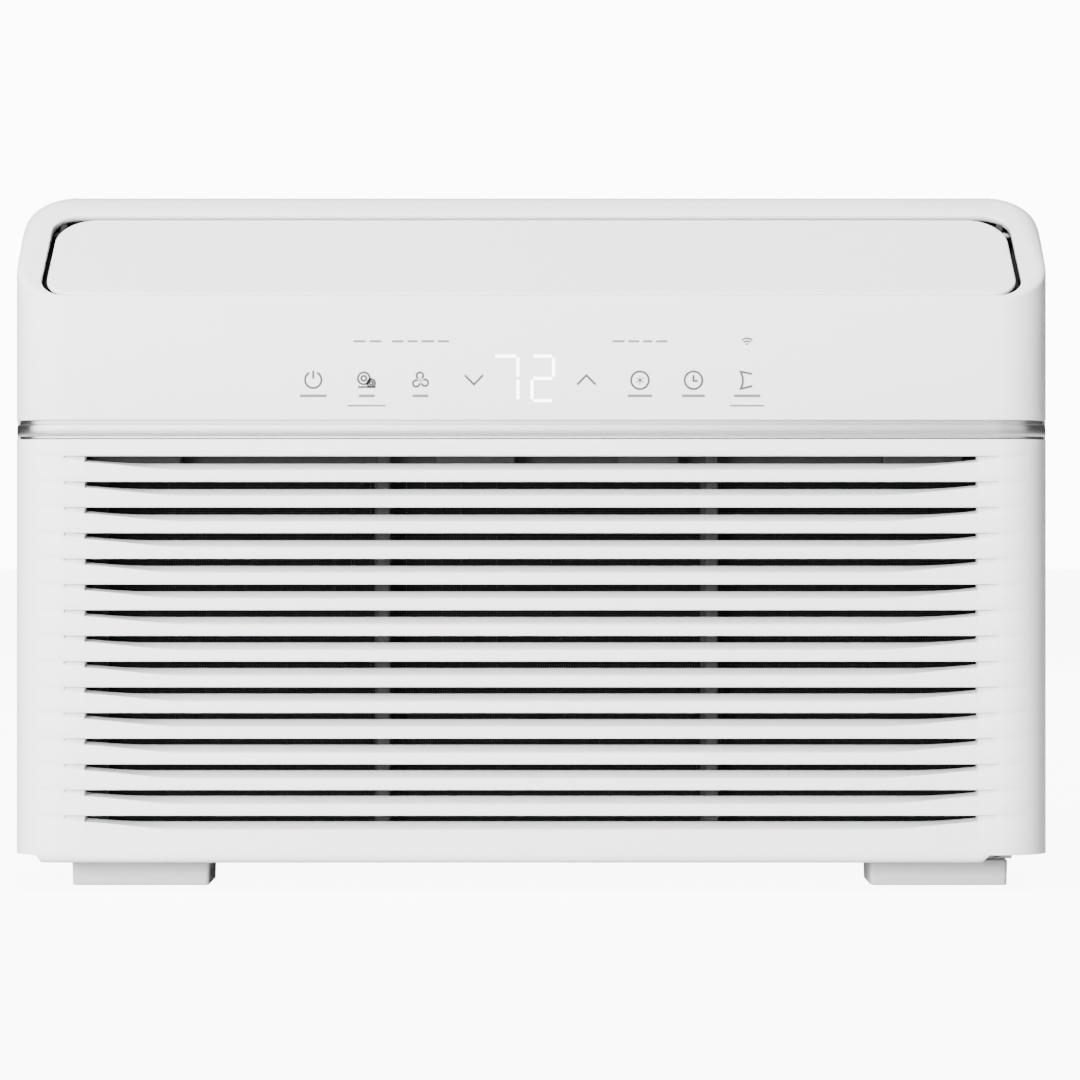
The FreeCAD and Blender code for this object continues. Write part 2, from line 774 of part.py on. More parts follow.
def intake_frame():
    """The inner moulding in front of the evaporator, with the two rails that the filter runs on."""
    y_span = (deep("frame_front"), deep("frame_front + frame_thick"))
    plate = block("frame_plate", ("-frame_half", "frame_half"), y_span, ("frame_low", "frame_high"))
    window = block("frame_window", ("frame_window_left", "frame_window_right"),
                   (deep("frame_front - 1"), deep("frame_front + frame_thick + 1")),
                   ("evap_low + 2", "evap_high - 4"))
    rails = []
    for name, low, high in (("low", "frame_low", "filter_bottom - clearance"),
                            ("high", "filter_top + clearance", "filter_top + clearance + 3")):
        rails.append(block(f"frame_rail_{name}", ("-frame_half", "frame_half"),
                           (deep("frame_front - rail_reach"), y_span[1]), (low, high)))
    corner = block("frame_corner", ("gland_room", "frame_half + 1"), (deep("frame_front - rail_reach - 1"),
                   deep("frame_front + frame_thick + 1")), ("frame_low - 1", "gland_room_high"))
    solid = join("frame_solid", cut("frame_open", plate, window), *rails)
    return name_piece(cut("frame", solid, corner), "intake_frame")


def sensor_clip():
    """The clip that holds the room air sensor on the face of the evaporator."""
    clip = block("sensor_block", ("sensor_left", "sensor_right"),
                 (deep("evap_front - sensor_thick"), deep("evap_front")),
                 ("sensor_low", "sensor_high"))
    bulb = rod("sensor_bulb", "z", ("(sensor_left + sensor_right) / 2", deep("evap_front - sensor_thick"),
                                    "sensor_low + 3"), "sensor_high - sensor_low - 6", "2.5")
    return name_piece(join("sensor", clip, bulb), "sensor_clip")


# ---------------------------------------------------------------- the two coils

def coil_fins(label, front, depth, left, right, low, high, count):
    """A row of thin upright plates between the two end plates of a coil."""
    margin = value_of("end_plate") + 2
    start, end = value_of(left) + margin, value_of(right) - margin
    thick = value_of("fin_thick")
    plates = [Part.makeBox(thick, value_of(depth), value_of(f"{high} - {low}"),
                           FreeCAD.Vector(start + (end - start - thick) * index / (count - 1),
                                          value_of(deep(front)), value_of(low)))
              for index in range(count)]
    return name_piece(shaped(label, Part.makeCompound(plates)), label)


def coil_tubes(label, front, depth, left, right, low, high, rows):
    """Straight tubes in two layers through the fins, joined at both ends by round return bends."""
    radius = value_of("tube_radius")
    left_end = value_of(left) - value_of("tube_bend_reach")
    right_end = value_of(right) + value_of("tube_bend_reach")
    step = (value_of(high) - value_of(low)) / rows
    layers = [value_of(deep(front)) + value_of(depth) * share for share in (0.25, 0.75)]
    tubes = []
    for y in layers:
        heights = [value_of(low) + step * (index + 0.5) for index in range(rows)]
        bars = [Part.makeCylinder(radius, right_end - left_end, FreeCAD.Vector(left_end, y, z),
                                  FreeCAD.Vector(1, 0, 0))
                for z in heights]
        for index in range(rows - 1):
            at_right = index % 2 == 1
            x = right_end if at_right else left_end
            ring = Part.makeTorus(step / 2, radius,
                                  FreeCAD.Vector(x, y, (heights[index] + heights[index + 1]) / 2),
                                  FreeCAD.Vector(0, 1, 0))
            reach = step + radius * 2
            room = Part.makeBox(reach, reach * 2, reach * 2, FreeCAD.Vector(x if at_right else x - reach,
                                y - reach, heights[index] + step / 2 - reach))
            bars.append(ring.common(room))
        tubes.append(bars[0].fuse(bars[1:]).removeSplitter())
    return name_piece(shaped(label, Part.makeCompound(tubes)), label)


def coil_ends(label, front, depth, left, right, low, high, rows):
    """A pair of end plates with a clearance hole for each tube."""
    thick = value_of("end_plate")
    hole = value_of("tube_radius + shaft_fit")
    step = (value_of(high) - value_of(low)) / rows
    plates = []
    for x in (value_of(left), value_of(right) - thick):
        plate = Part.makeBox(thick, value_of(depth), value_of(f"{high} - {low}"),
                             FreeCAD.Vector(x, value_of(deep(front)), value_of(low)))
        holes = [Part.makeCylinder(hole, thick + 2,
                                   FreeCAD.Vector(x - 1, value_of(deep(front)) + value_of(depth) * share,
                 value_of(low) + step * (index + 0.5)), FreeCAD.Vector(1, 0, 0))
                 for share in (0.25, 0.75) for index in range(rows)]
        plates.append(plate.cut(holes))
    return name_piece(shaped(label, Part.makeCompound(plates)), label)


EVAPORATOR = ("evap_front", "evap_depth", "evap_left", "evap_right", "evap_low", "evap_high")
CONDENSER = ("cond_front", "cond_depth", "cond_left", "cond_right", "cond_low", "cond_high")


def evaporator():
    coil_fins("evaporator_fins", *EVAPORATOR, int(value_of("evap_fin_count")))
    coil_tubes("evaporator_tubes", *EVAPORATOR, int(value_of("evap_rows")))
    coil_ends("evaporator_end_plates", *EVAPORATOR, int(value_of("evap_rows")))


def condenser():
    coil_fins("condenser_fins", *CONDENSER, int(value_of("cond_fin_count")))
    coil_tubes("condenser_tubes", *CONDENSER, int(value_of("cond_rows")))
    coil_ends("condenser_end_plates", *CONDENSER, int(value_of("cond_rows")))


def drain_tray():
    """An open tray under the evaporator."""
    y_span = ("evap_front - 2", "evap_front + evap_depth + 6")
    low = "foot_height + pan_sheet"
    outer = block("tray_outer", ("evap_left - 12", "evap_right + 12"), (deep(y_span[0]), deep(y_span[1])),
                  (low, f"{low} + tray_height"))
    inner = block("tray_inner", ("evap_left - 12 + tray_wall", "evap_right + 12 - tray_wall"),
                  (deep(f"{y_span[0]} + tray_wall"), deep(f"{y_span[1]} - tray_wall")),
                  (f"{low} + tray_wall", f"{low} + tray_height + 1"))
    return name_piece(cut("tray", outer, inner), "drain_tray")


# ---------------------------------------------------------------- fan line

def motor_shaft():
    return name_piece(rod("shaft", "y", ("shaft_x", deep("shaft_front"), "shaft_z"),
                          "shaft_back - shaft_front",
                          "shaft_radius"), "motor_shaft")


def fan_motor():
    """A round can with a neck at each end, bored for the shaft."""
    bore = "shaft_radius + shaft_fit"
    body = turned("motor_turned", "y", ("shaft_x", deep("motor_front"), "shaft_z"), [
        (bore, "-motor_neck_length"), ("motor_neck", "-motor_neck_length"), ("motor_neck", "0"),
        ("motor_radius - 6", "0"), ("motor_radius", "6"), ("motor_radius", "motor_length - 6"),
        ("motor_radius - 6", "motor_length"), ("motor_neck", "motor_length"),
        ("motor_neck", "motor_length + motor_neck_length"), (bore, "motor_length + motor_neck_length"),
    ])
    return name_piece(body, "fan_motor")


def motor_bracket():
    """A cradle that stands on the base pan and holds the motor by a saddle."""
    floor = "foot_height + pan_sheet"
    middle = "motor_front + motor_length / 2"
    half = "motor_length / 4"
    foot = block("bracket_foot", ("shaft_x - bracket_half", "shaft_x + bracket_half"),
                 (deep(f"{middle} - {half}"), deep(f"{middle} + {half}")),
                 (floor, f"{floor} + bracket_thick"))
    legs = [block(f"bracket_leg_{name}",
                  (f"shaft_x + {side} * (bracket_half - bracket_thick / 2) - bracket_thick / 2",
                   f"shaft_x + {side} * (bracket_half - bracket_thick / 2) + bracket_thick / 2"),
                  (deep(f"{middle} - {half}"), deep(f"{middle} + {half}")), (floor, "shaft_z - 20"))
            for name, side in (("left", "-1"), ("right", "1"))]
    saddle = block("bracket_saddle", ("shaft_x - bracket_half", "shaft_x + bracket_half"),
                   (deep(f"{middle} - {half}"), deep(f"{middle} + {half}")),
                   ("shaft_z - motor_radius - bracket_thick", "shaft_z - 20"))
    room = rod("bracket_room", "y", ("shaft_x", deep("motor_front - 1"), "shaft_z"), "motor_length + 2",
               "motor_radius")
    return name_piece(cut("bracket", join("bracket_solid", foot, saddle, *legs), room), "motor_bracket")


def blower_wheel():
    """A hub and a back plate, a ring of forward-curved blades, and a front ring."""
    x, z = value_of("shaft_x"), value_of("shaft_z")
    front = value_of(deep("wheel_front"))
    outer, inner = value_of("wheel_radius"), value_of("wheel_inner")
    width, plate, ring = value_of("wheel_width"), value_of("wheel_plate"), value_of("wheel_ring")
    bore = value_of("shaft_radius + bore_fit")
    along = FreeCAD.Vector(0, 1, 0)

    def tube(radius, hole, start, length):
        base = FreeCAD.Vector(x, start, z)
        return Part.makeCylinder(radius, length, base,
                                 along).cut(Part.makeCylinder(hole, length, base, along))

    back = front + width - plate
    parts = [tube(value_of("hub_radius"), bore, back + plate - value_of("hub_length"),
                  value_of("hub_length")),
             tube(outer, bore, back, plate), tube(outer, inner, front, ring)]
    thick = value_of("wheel_blade_thick")
    count = int(value_of("wheel_blades"))
    middle = FreeCAD.Vector((outer + inner) / 2, 0, (outer - inner) * 0.28)
    low = Part.Arc(FreeCAD.Vector(inner + 1, 0, 0), middle, FreeCAD.Vector(outer - 1, 0, 0)).toShape()
    shift = FreeCAD.Vector(0, 0, thick)
    high = Part.Arc(FreeCAD.Vector(inner + 1, 0, 0) + shift, middle + shift,
                    FreeCAD.Vector(outer - 1, 0, 0) + shift)
    high = high.toShape()
    sides = [Part.makeLine(FreeCAD.Vector(radius, 0, 0), FreeCAD.Vector(radius, 0, 0) + shift)
             for radius in (inner + 1, outer - 1)]
    face = Part.Face(Part.Wire([low, sides[1], high, sides[0]]))
    blade = face.extrude(along * (width - ring - plate + 1))
    for index in range(count):
        copy = blade.copy()
        copy.rotate(FreeCAD.Vector(0, 0, 0), along, 360 * index / count)
        copy.translate(FreeCAD.Vector(x, front + ring - 0.5, z))
        parts.append(copy)
    return name_piece(shaped("wheel", parts[0].fuse(parts[1:])), "blower_wheel")


def condenser_fan():
    """Five pitched blades between a hub and the slinger ring that dips into the pan's water."""
    x, z = value_of("shaft_x"), value_of("shaft_z")
    front, depth = value_of(deep("fan_front")), value_of("fan_depth")
    ring, wall, hub = value_of("fan_ring"), value_of("fan_ring_wall"), value_of("fan_hub")
    thick = value_of("fan_blade_thick")
    count = int(value_of("fan_blades"))
    along = FreeCAD.Vector(0, 1, 0)
    base = FreeCAD.Vector(x, front, z)
    bore = Part.makeCylinder(value_of("shaft_radius + bore_fit"), depth + 20,
                             FreeCAD.Vector(x, front - 10, z), along)
    parts = [Part.makeCylinder(hub, depth, base, along).cut(
                 Part.makeCylinder(hub - wall, depth - wall, FreeCAD.Vector(x, front + wall, z), along)),
             Part.makeCylinder(value_of("hub_radius"), depth, base, along),
             Part.makeCylinder(ring, depth / 2, FreeCAD.Vector(x, front + depth / 4, z), along).cut(
                 Part.makeCylinder(ring - wall, depth / 2, FreeCAD.Vector(x, front + depth / 4, z), along))]
    chord = [(hub - wall / 2, 24, 0.42), (ring - wall / 2, 78, 0.30)]
    for index in range(count):
        wires = []
        for radius, length, pitch in chord:
            half = length / 2
            rise = depth * pitch
            corners = [FreeCAD.Vector(radius, depth / 2 - rise, -half),
                       FreeCAD.Vector(radius, depth / 2 + rise, half),
                       FreeCAD.Vector(radius, depth / 2 + rise + thick, half),
                       FreeCAD.Vector(radius, depth / 2 - rise + thick, -half)]
            wires.append(Part.makePolygon(corners + corners[:1]))
        blade = Part.makeLoft(wires, True)
        blade.rotate(FreeCAD.Vector(0, 0, 0), along, 360 * index / count)
        blade.translate(FreeCAD.Vector(x, front, z))
        inside = Part.makeCylinder(ring - 0.5, depth * 2, FreeCAD.Vector(x, front - depth / 2, z), along)
        core = Part.makeCylinder(hub - wall / 2, depth * 2, FreeCAD.Vector(x, front - depth / 2, z), along)
        parts.append(blade.common(inside).cut(core))
    return name_piece(shaped("fan", parts[0].fuse(parts[1:]).cut(bore)), "condenser_fan")


def fan_nuts():
    """The two nuts that hold the wheel and the fan on the shaft."""
    nuts = []
    for place in ("wheel_front + wheel_width - hub_length - nut_height", "fan_front + fan_depth"):
        base = FreeCAD.Vector(value_of("shaft_x"), value_of(deep(place)), value_of("shaft_z"))
        along = FreeCAD.Vector(0, 1, 0)
        across = value_of("nut_radius") * 2
        corners = [FreeCAD.Vector(across * math.cos(math.radians(60 * k)), 0,
                                  across * math.sin(math.radians(60 * k)))
                   for k in range(7)]
        height = value_of("nut_height")
        nut = Part.Face(Part.makePolygon(corners)).extrude(along * height)
        nut.translate(base)
        nuts.append(nut.cut(Part.makeCylinder(value_of("shaft_radius + bore_fit"), height, base, along)))
    return name_piece(shaped("shaft_nuts", Part.makeCompound(nuts)), "fan_nuts")


def scroll_curve(extra):
    """The scroll's wall seen along the shaft: a growing spiral from the tongue round to the far side."""
    x, z = value_of("shaft_x"), value_of("shaft_z")
    start, end = value_of("scroll_tongue"), value_of("scroll_side")
    turns = [45 - 225 * step / 12 for step in range(13)]
    points = []
    for step, turn in enumerate(turns):
        radius = start + (end - start) * step / 12 + extra
        points.append(FreeCAD.Vector(x + radius * math.cos(math.radians(turn)), 0,
                                     z + radius * math.sin(math.radians(turn))))
    return points


def scroll_outline(extra):
    """The closed outline of the scroll and its throat, grown outward by extra."""
    points = scroll_curve(extra)
    spiral = Part.BSplineCurve()
    spiral.interpolate(points)
    top = value_of("scroll_top")
    high_right = FreeCAD.Vector(points[0].x, 0, top)
    high_left = FreeCAD.Vector(points[-1].x, 0, top)
    edges = [spiral.toShape(), Part.makeLine(points[-1], high_left), Part.makeLine(high_left, high_right),
             Part.makeLine(high_right, points[0])]
    return Part.Face(Part.Wire(edges))


def scroll_housing():
    """The spiral wall with its back plate, open at the front and at the top of the throat."""
    front, depth = value_of(deep("scroll_front")), value_of("scroll_depth")
    wall = value_of("scroll_wall")
    outer = scroll_outline(wall)
    outer.translate(FreeCAD.Vector(0, front + wall, 0))
    inner = scroll_outline(0)
    inner.translate(FreeCAD.Vector(0, front, 0))
    solid = outer.extrude(FreeCAD.Vector(0, depth - wall, 0))
    room = inner.extrude(FreeCAD.Vector(0, depth - wall, 0))
    hole = Part.makeCylinder(value_of("bulkhead_hole"), wall * 4,
                             FreeCAD.Vector(value_of("shaft_x"), front + depth - wall * 2,
                                            value_of("shaft_z")),
                             FreeCAD.Vector(0, 1, 0))
    return name_piece(shaped("scroll", solid.cut(room).cut(hole)), "scroll_housing")


def scroll_cover():
    """The flat front plate of the scroll with the rounded inlet ring of the blower."""
    x, z = "shaft_x", "shaft_z"
    low = "foot_height + pan_sheet"
    plate = block("cover_plate", ("evap_left - 12", "evap_right + 20"),
                  (deep("scroll_front"), deep("scroll_front + scroll_wall")), (low, "scroll_top"))
    lip = rod("cover_lip", "y", (x, deep("scroll_front - inlet_lip"), z), "inlet_lip + 0.5",
              "inlet_radius + scroll_wall")
    hole = rod("cover_hole", "y", (x, deep("scroll_front - inlet_lip - 1"), z), "inlet_lip + scroll_wall + 3",
               "inlet_radius")
    return name_piece(cut("cover", join("cover_solid", plate, lip), hole), "scroll_cover")


# ---------------------------------------------------------------- outlet duct and vanes

def duct_outline(wall):
    """The side outline of the duct, moved in by a wall; the front and the slope side stay open."""
    open_front = "0" if wall == "0" else "-6"
    return [
        (deep(f"duct_lip_front + {open_front}"), f"duct_lip_height + {wall}"),
        (deep("duct_step"), f"duct_floor + {wall}"),
        (deep(f"duct_back - {wall}"), f"duct_floor + {wall}"),
        (deep(f"duct_back - {wall}"), f"duct_roof - {wall}"),
        (deep(f"duct_roof_front + {open_front}"), f"duct_roof - {wall}"),
    ]


def vane_places():
    """The X of each vane's pivot, evenly spaced about the middle."""
    count = int(value_of("vane_count"))
    return [f"vane_pitch * ({number} - (vane_count - 1) / 2)" for number in range(count)]


def outlet_duct():
    """A hollow box from the scroll's throat forward to the opening, with two pivot holes for each vane."""
    outer = prism("duct_outer", "x", ("-duct_half", "duct_half"), duct_outline("0"))
    inner = prism("duct_inner", "x", ("-duct_half + duct_wall", "duct_half - duct_wall"),
                  duct_outline("duct_wall"))
    throat = block("duct_throat",
                   ("shaft_x - scroll_side", "shaft_x + scroll_tongue * cos(45)"),
                   (deep("scroll_front + scroll_wall"), deep("scroll_front + scroll_depth - scroll_wall")),
                   ("duct_floor - 1", "duct_floor + duct_wall + 1"))
    holes = []
    for number, x in enumerate(vane_places(), start=1):
        for end, low in (("low", "duct_floor - 1"), ("high", "duct_roof - duct_wall - 1")):
            holes.append(rod(f"duct_hole_{end}_{number}", "z", (x, deep("vane_pivot"), low), "duct_wall + 2",
                             "vane_pin_radius + shaft_fit"))
    return name_piece(cut("duct", outer, inner, throat, *holes), "outlet_duct")


def air_vanes():
    """Upright plates, each with a pivot pin at both ends and a crank pin for the link bar."""
    low = "duct_floor + duct_wall + vane_gap_low"
    high = "duct_roof - duct_wall - clearance"
    for number, x in enumerate(vane_places(), start=1):
        plate = prism(f"vane_plate_{number}", "x", (f"{x} - vane_thick / 2", f"{x} + vane_thick / 2"), [
            (deep("vane_front"), low),
            (deep("vane_back"), low),
            (deep("vane_back"), high),
            (deep("vane_shoulder"), high),
            (deep("vane_front"), "vane_front_high"),
        ])
        foot = rod(f"vane_foot_{number}", "z", (x, deep("vane_pivot"), "duct_floor + duct_wall + clearance"),
                   "vane_gap_low", "vane_boss_radius")
        pin = rod(f"vane_pin_{number}", "z", (x, deep("vane_pivot"), "duct_floor"), "duct_roof - duct_floor",
                  "vane_pin_radius")
        crank = rod(f"vane_crank_pin_{number}", "z",
                    (x, deep("vane_pivot - vane_crank"), "duct_floor + duct_wall + 1"),
                    "vane_gap_low", "link_pin_radius")
        name_piece(join(f"vane_{number}", plate, foot, pin, crank), f"air_vane_{number:02d}")


def vane_link():
    """A bar under the vanes with a slot for each crank pin, long enough for the pin's swing."""
    places = vane_places()
    middle = "vane_pivot - vane_crank"
    low = "duct_floor + duct_wall + clearance"
    bar = block("link_bar", (f"{places[0]} - link_end", f"{places[-1]} + link_end"),
                (deep(f"{middle} - link_width / 2"), deep(f"{middle} + link_width / 2 + 2")),
                (low, f"{low} + link_thick"))
    slots = [block(f"link_slot_{number}",
                   (f"{x} - link_pin_radius - link_slot_fit", f"{x} + link_pin_radius + link_slot_fit"),
                   (deep(f"{middle} - link_pin_radius - link_slot_fit"),
                    deep(f"{middle} + link_pin_radius + link_slot_fit + vane_crank * 0.16")),
                   (f"{low} - 1", f"{low} + link_thick + 1"))
             for number, x in enumerate(places, start=1)]
    return name_piece(cut("link", bar, *slots), "vane_link_bar")


# ---------------------------------------------------------------- middle and outdoor side

PAN_FLOOR = "(foot_height + pan_sheet)"


def bulkhead():
    """The sheet wall between the room side and the outdoor side."""
    wall = block("bulkhead_wall", ("-cabinet_half + cabinet_sheet + 1", "cabinet_half - cabinet_sheet - 1"),
                 (deep("bulkhead_front"), deep("bulkhead_front + bulkhead_thick")),
                 (PAN_FLOOR, "cabinet_top - cabinet_sheet - cabinet_radius"))
    hole = rod("bulkhead_bore", "y", ("shaft_x", deep("bulkhead_front - 1"), "shaft_z"), "bulkhead_thick + 2",
               "bulkhead_hole")
    pipes = [rod(f"bulkhead_pipe_{name}", "y", ("suction_lane", deep("bulkhead_front - 1"), level),
                 "bulkhead_thick + 2", f"{radius} + pipe_hole_fit")
             for name, level, radius in (("suction", "suction_level", "suction_radius"),
                                         ("capillary", "capillary_level", "thin_radius"))]
    corners = [block(f"bulkhead_corner_{name}", span,
                     (deep("bulkhead_front - 1"), deep("bulkhead_front + 3")),
                     (f"{PAN_FLOOR} - 1", f"{PAN_FLOOR} + pan_flange + 1"))
               for name, span in (("left", ("-cabinet_half", "-pan_half + pan_sheet + clearance")),
                                  ("right", ("pan_half - pan_sheet - clearance", "cabinet_half")))]
    return name_piece(cut("bulkhead_open", wall, hole, *pipes, *corners), "bulkhead")


def fan_shroud():
    """A plate with the fan's round orifice and a box behind it that leads the air to the condenser."""
    plate = block("shroud_face", ("-shroud_half", "shroud_half"),
                  (deep("shroud_front"), deep("shroud_front + shroud_plate")),
                  (PAN_FLOOR, "shroud_high"))
    hole = rod("shroud_orifice", "y", ("shaft_x", deep("shroud_front - 1"), "shaft_z"), "shroud_plate + 2",
               "shroud_hole")
    outer = block("shroud_outer", ("-shroud_half", "shroud_half"), (deep("shroud_front"), deep("cond_front")),
                  ("cond_high - 20", "shroud_high"))
    walls = [outer]
    for name, side in (("left", "-1"), ("right", "1")):
        middle = f"{side} * (shroud_half - shroud_plate / 2)"
        walls.append(block(f"shroud_wall_{name}",
                           (f"{middle} - shroud_plate / 2", f"{middle} + shroud_plate / 2"),
                           (deep("shroud_front"), deep("cond_front")), (PAN_FLOOR, "shroud_high")))
    room = block("shroud_room", ("-shroud_half + shroud_plate", "shroud_half - shroud_plate"),
                 (deep("shroud_front + shroud_plate"), deep("cond_front + 1")),
                 ("cond_high - 21", "shroud_high - shroud_plate"))
    return name_piece(cut("shroud", join("shroud_solid", plate, *walls), hole, room), "fan_shroud")


def compressor():
    """A steel can with domed ends, turned about its upright axis, on a three-cornered foot plate."""
    rise = "comp_dome / 2"
    can = turned("comp_turned", "z", ("comp_x", deep("comp_setback"), "0"), [
        ("0", "comp_low + 6"), ("comp_radius * 0.55", "comp_low + 6"), ("comp_radius", f"comp_low + {rise}"),
        ("comp_radius", "comp_high - comp_dome"), ("comp_radius * 0.82", f"comp_high - {rise} * 0.7"),
        ("comp_radius * 0.45", "comp_high"), ("0", "comp_high"),
    ])
    plates = []
    for number, angle in enumerate((90, 210, 330), start=1):
        plates.append(rod(f"comp_ear_{number}", "z", (f"comp_x + comp_foot * cos({angle})",
                          deep(f"comp_setback + comp_foot * sin({angle})"), "comp_low"), "comp_foot_thick",
                          "grommet_radius + 2"))
    disc = rod("comp_disc", "z", ("comp_x", deep("comp_setback"), "comp_low"), "comp_foot_thick + 6",
               "comp_radius * 0.9")
    arms = []
    for number, angle in enumerate((90, 210, 330), start=1):
        arm = doc.addObject("Part::Box", f"comp_arm_{number}")
        bind(arm, "Length", "comp_foot")
        bind(arm, "Width", "grommet_radius * 2")
        bind(arm, "Height", "comp_foot_thick")
        arm.Placement.Rotation = FreeCAD.Rotation(FreeCAD.Vector(0, 0, 1), angle)
        bind(arm, "Placement.Base.x", f"comp_x + grommet_radius * sin({angle})")
        bind(arm, "Placement.Base.y", deep(f"comp_setback - grommet_radius * cos({angle})"))
        bind(arm, "Placement.Base.z", "comp_low")
        arms.append(arm)
    holes = [rod(f"comp_hole_{number}", "z", (f"comp_x + comp_foot * cos({angle})",
                 deep(f"comp_setback + comp_foot * sin({angle})"), "comp_low - 1"), "comp_foot_thick + 2",
                 "stud_radius + clearance") for number, angle in enumerate((90, 210, 330), start=1)]
    return name_piece(cut("comp", join("comp_solid", can, disc, *plates, *arms), *holes), "compressor")


def foot_places():
    """The three hold-down points of the compressor."""
    return [(value_of(f"comp_x + comp_foot * cos({angle})"),
             value_of(deep(f"comp_setback + comp_foot * sin({angle})")))
            for angle in (90, 210, 330)]


def compressor_grommets():
    low, high = value_of(PAN_FLOOR), value_of("comp_low")
    up = FreeCAD.Vector(0, 0, 1)
    rings = []
    for x, y in foot_places():
        base = FreeCAD.Vector(x, y, low)
        rings.append(Part.makeCylinder(value_of("grommet_radius"), high - low, base, up).cut(
            Part.makeCylinder(value_of("stud_radius + clearance"), high - low, base, up)))
    return name_piece(shaped("grommets", Part.makeCompound(rings)), "compressor_grommets")


def compressor_studs():
    low, plate_top = value_of(PAN_FLOOR), value_of("comp_low + comp_foot_thick")
    up = FreeCAD.Vector(0, 0, 1)
    studs = []
    for x, y in foot_places():
        stud = Part.makeCylinder(value_of("stud_radius"), plate_top + 12 - low, FreeCAD.Vector(x, y, low), up)
        nut = Part.makeCylinder(value_of("nut_radius"), value_of("nut_height"),
                                FreeCAD.Vector(x, y, plate_top), up)
        studs.append(stud.fuse(nut))
    return name_piece(shaped("studs", Part.makeCompound(studs)), "compressor_studs")


def terminal_cover():
    return name_piece(rod("terminal", "z", ("comp_x", deep("comp_setback"), "comp_high"), "terminal_height",
                          "terminal_radius"), "terminal_cover")


ACC_ANGLE = "215"
ACC_X = f"(comp_x + (comp_radius + acc_gap + acc_radius) * cos({ACC_ANGLE}))"
ACC_Y = f"(comp_setback + (comp_radius + acc_gap + acc_radius) * sin({ACC_ANGLE}))"


def accumulator():
    can = turned("acc_turned", "z", (ACC_X, deep(ACC_Y), "0"), [
        ("0", "acc_low"), ("acc_radius * 0.6", "acc_low + 3"), ("acc_radius", "acc_low + 12"),
        ("acc_radius", "acc_high - 12"), ("acc_radius * 0.6", "acc_high - 3"), ("0", "acc_high"),
    ])
    return name_piece(can, "accumulator")


def coil_port(coil, high_end):
    """Where the free end of a coil's front layer is, at its top or bottom, on the right."""
    front, depth, _, right, low, high = coil
    rows = "evap_rows" if coil is EVAPORATOR else "cond_rows"
    step = value_of(f"({high} - {low}) / {rows}")
    z = value_of(high) - step / 2 if high_end else value_of(low) + step / 2
    return value_of(f"{right} + tube_bend_reach"), value_of(deep(front)) + value_of(depth) * 0.25, z


def discharge_pipe():
    """From the compressor's dome out to the side, back past the shroud and into the condenser's top."""
    port = coil_port(CONDENSER, True)
    x = value_of("comp_x + comp_radius * 0.6")
    y = value_of(deep("comp_setback + comp_radius * 0.3"))
    side = value_of("pipe_lane")
    level = value_of("discharge_level")
    points = [(x, y, value_of("comp_high - 6")), (x, y, level), (side, y, level), (side, port[1], level),
              (side, port[1], port[2]), port]
    return name_piece(shaped("discharge", pipe(points, value_of("pipe_radius"), 11)), "discharge_pipe")


def suction_pipe():
    """From the evaporator's top along the side, through the bulkhead and down into the accumulator."""
    port = coil_port(EVAPORATOR, True)
    acc_x, acc_y = value_of(ACC_X), value_of(deep(ACC_Y))
    side, level = value_of("suction_lane"), value_of("suction_level")
    points = [port, (side, port[1], port[2]), (side, port[1], level), (side, acc_y, level),
              (acc_x, acc_y, level),
              (acc_x, acc_y, value_of("acc_high"))]
    return name_piece(shaped("suction", pipe(points, value_of("suction_radius"), 11)), "suction_pipe")


def filter_drier():
    return name_piece(rod("drier", "z", ("drier_x", deep("drier_setback"), "drier_low"), "drier_length",
                          "drier_radius"),
                      "filter_drier")


def liquid_pipe():
    """From the condenser's bottom forward along the side and down into the drier's top."""
    port = coil_port(CONDENSER, False)
    side, level = value_of("pipe_lane"), value_of("liquid_level")
    x, y = value_of("drier_x"), value_of(deep("drier_setback"))
    points = [port, (side, port[1], port[2]), (side, port[1], level), (side, y, level), (x, y, level),
              (x, y, value_of("drier_low + drier_length"))]
    return name_piece(shaped("liquid", pipe(points, value_of("thin_radius"), 6)), "liquid_pipe")


def capillary_tube():
    """From the drier's foot through the bulkhead to the evaporator's bottom."""
    port = coil_port(EVAPORATOR, False)
    x, y = value_of("drier_x"), value_of(deep("drier_setback"))
    side, level = value_of("suction_lane"), value_of("capillary_level")
    points = [(x, y, value_of("drier_low")), (x, y, level), (side, y, level), (side, port[1], level),
              (side, port[1], port[2]), port]
    return name_piece(shaped("capillary", pipe(points, value_of("thin_radius"), 6)), "capillary_tube")


# ---------------------------------------------------------------- electronics

def control_board():
    return name_piece(block("board", ("-board_half", "board_half"),
                            (deep("board_setback"), deep("board_setback + board_thick")),
                            ("board_low", "board_high")),
                      "control_board")


def display_module():
    return name_piece(block("display", ("-display_half", "display_half"),
                            (deep("bezel_wall"), deep("board_setback")),
                            ("display_low", "display_high")), "display_module")


def electronics_box():
    """A lidded box for the drive electronics beside the scroll."""
    outer = block("ebox_outer", ("ebox_left", "ebox_right"), (deep("ebox_front"), deep("ebox_back")),
                  ("ebox_low", "ebox_high"))
    inner = block("ebox_inner", ("ebox_left + ebox_wall", "ebox_right - ebox_wall"),
                  (deep("ebox_front + ebox_wall"), deep("ebox_back - ebox_wall")),
                  ("ebox_low + ebox_wall", "ebox_high - ebox_wall"))
    return name_piece(cut("ebox", outer, inner), "electronics_box")


# ---------------------------------------------------------------- base, cabinet, guard, feet

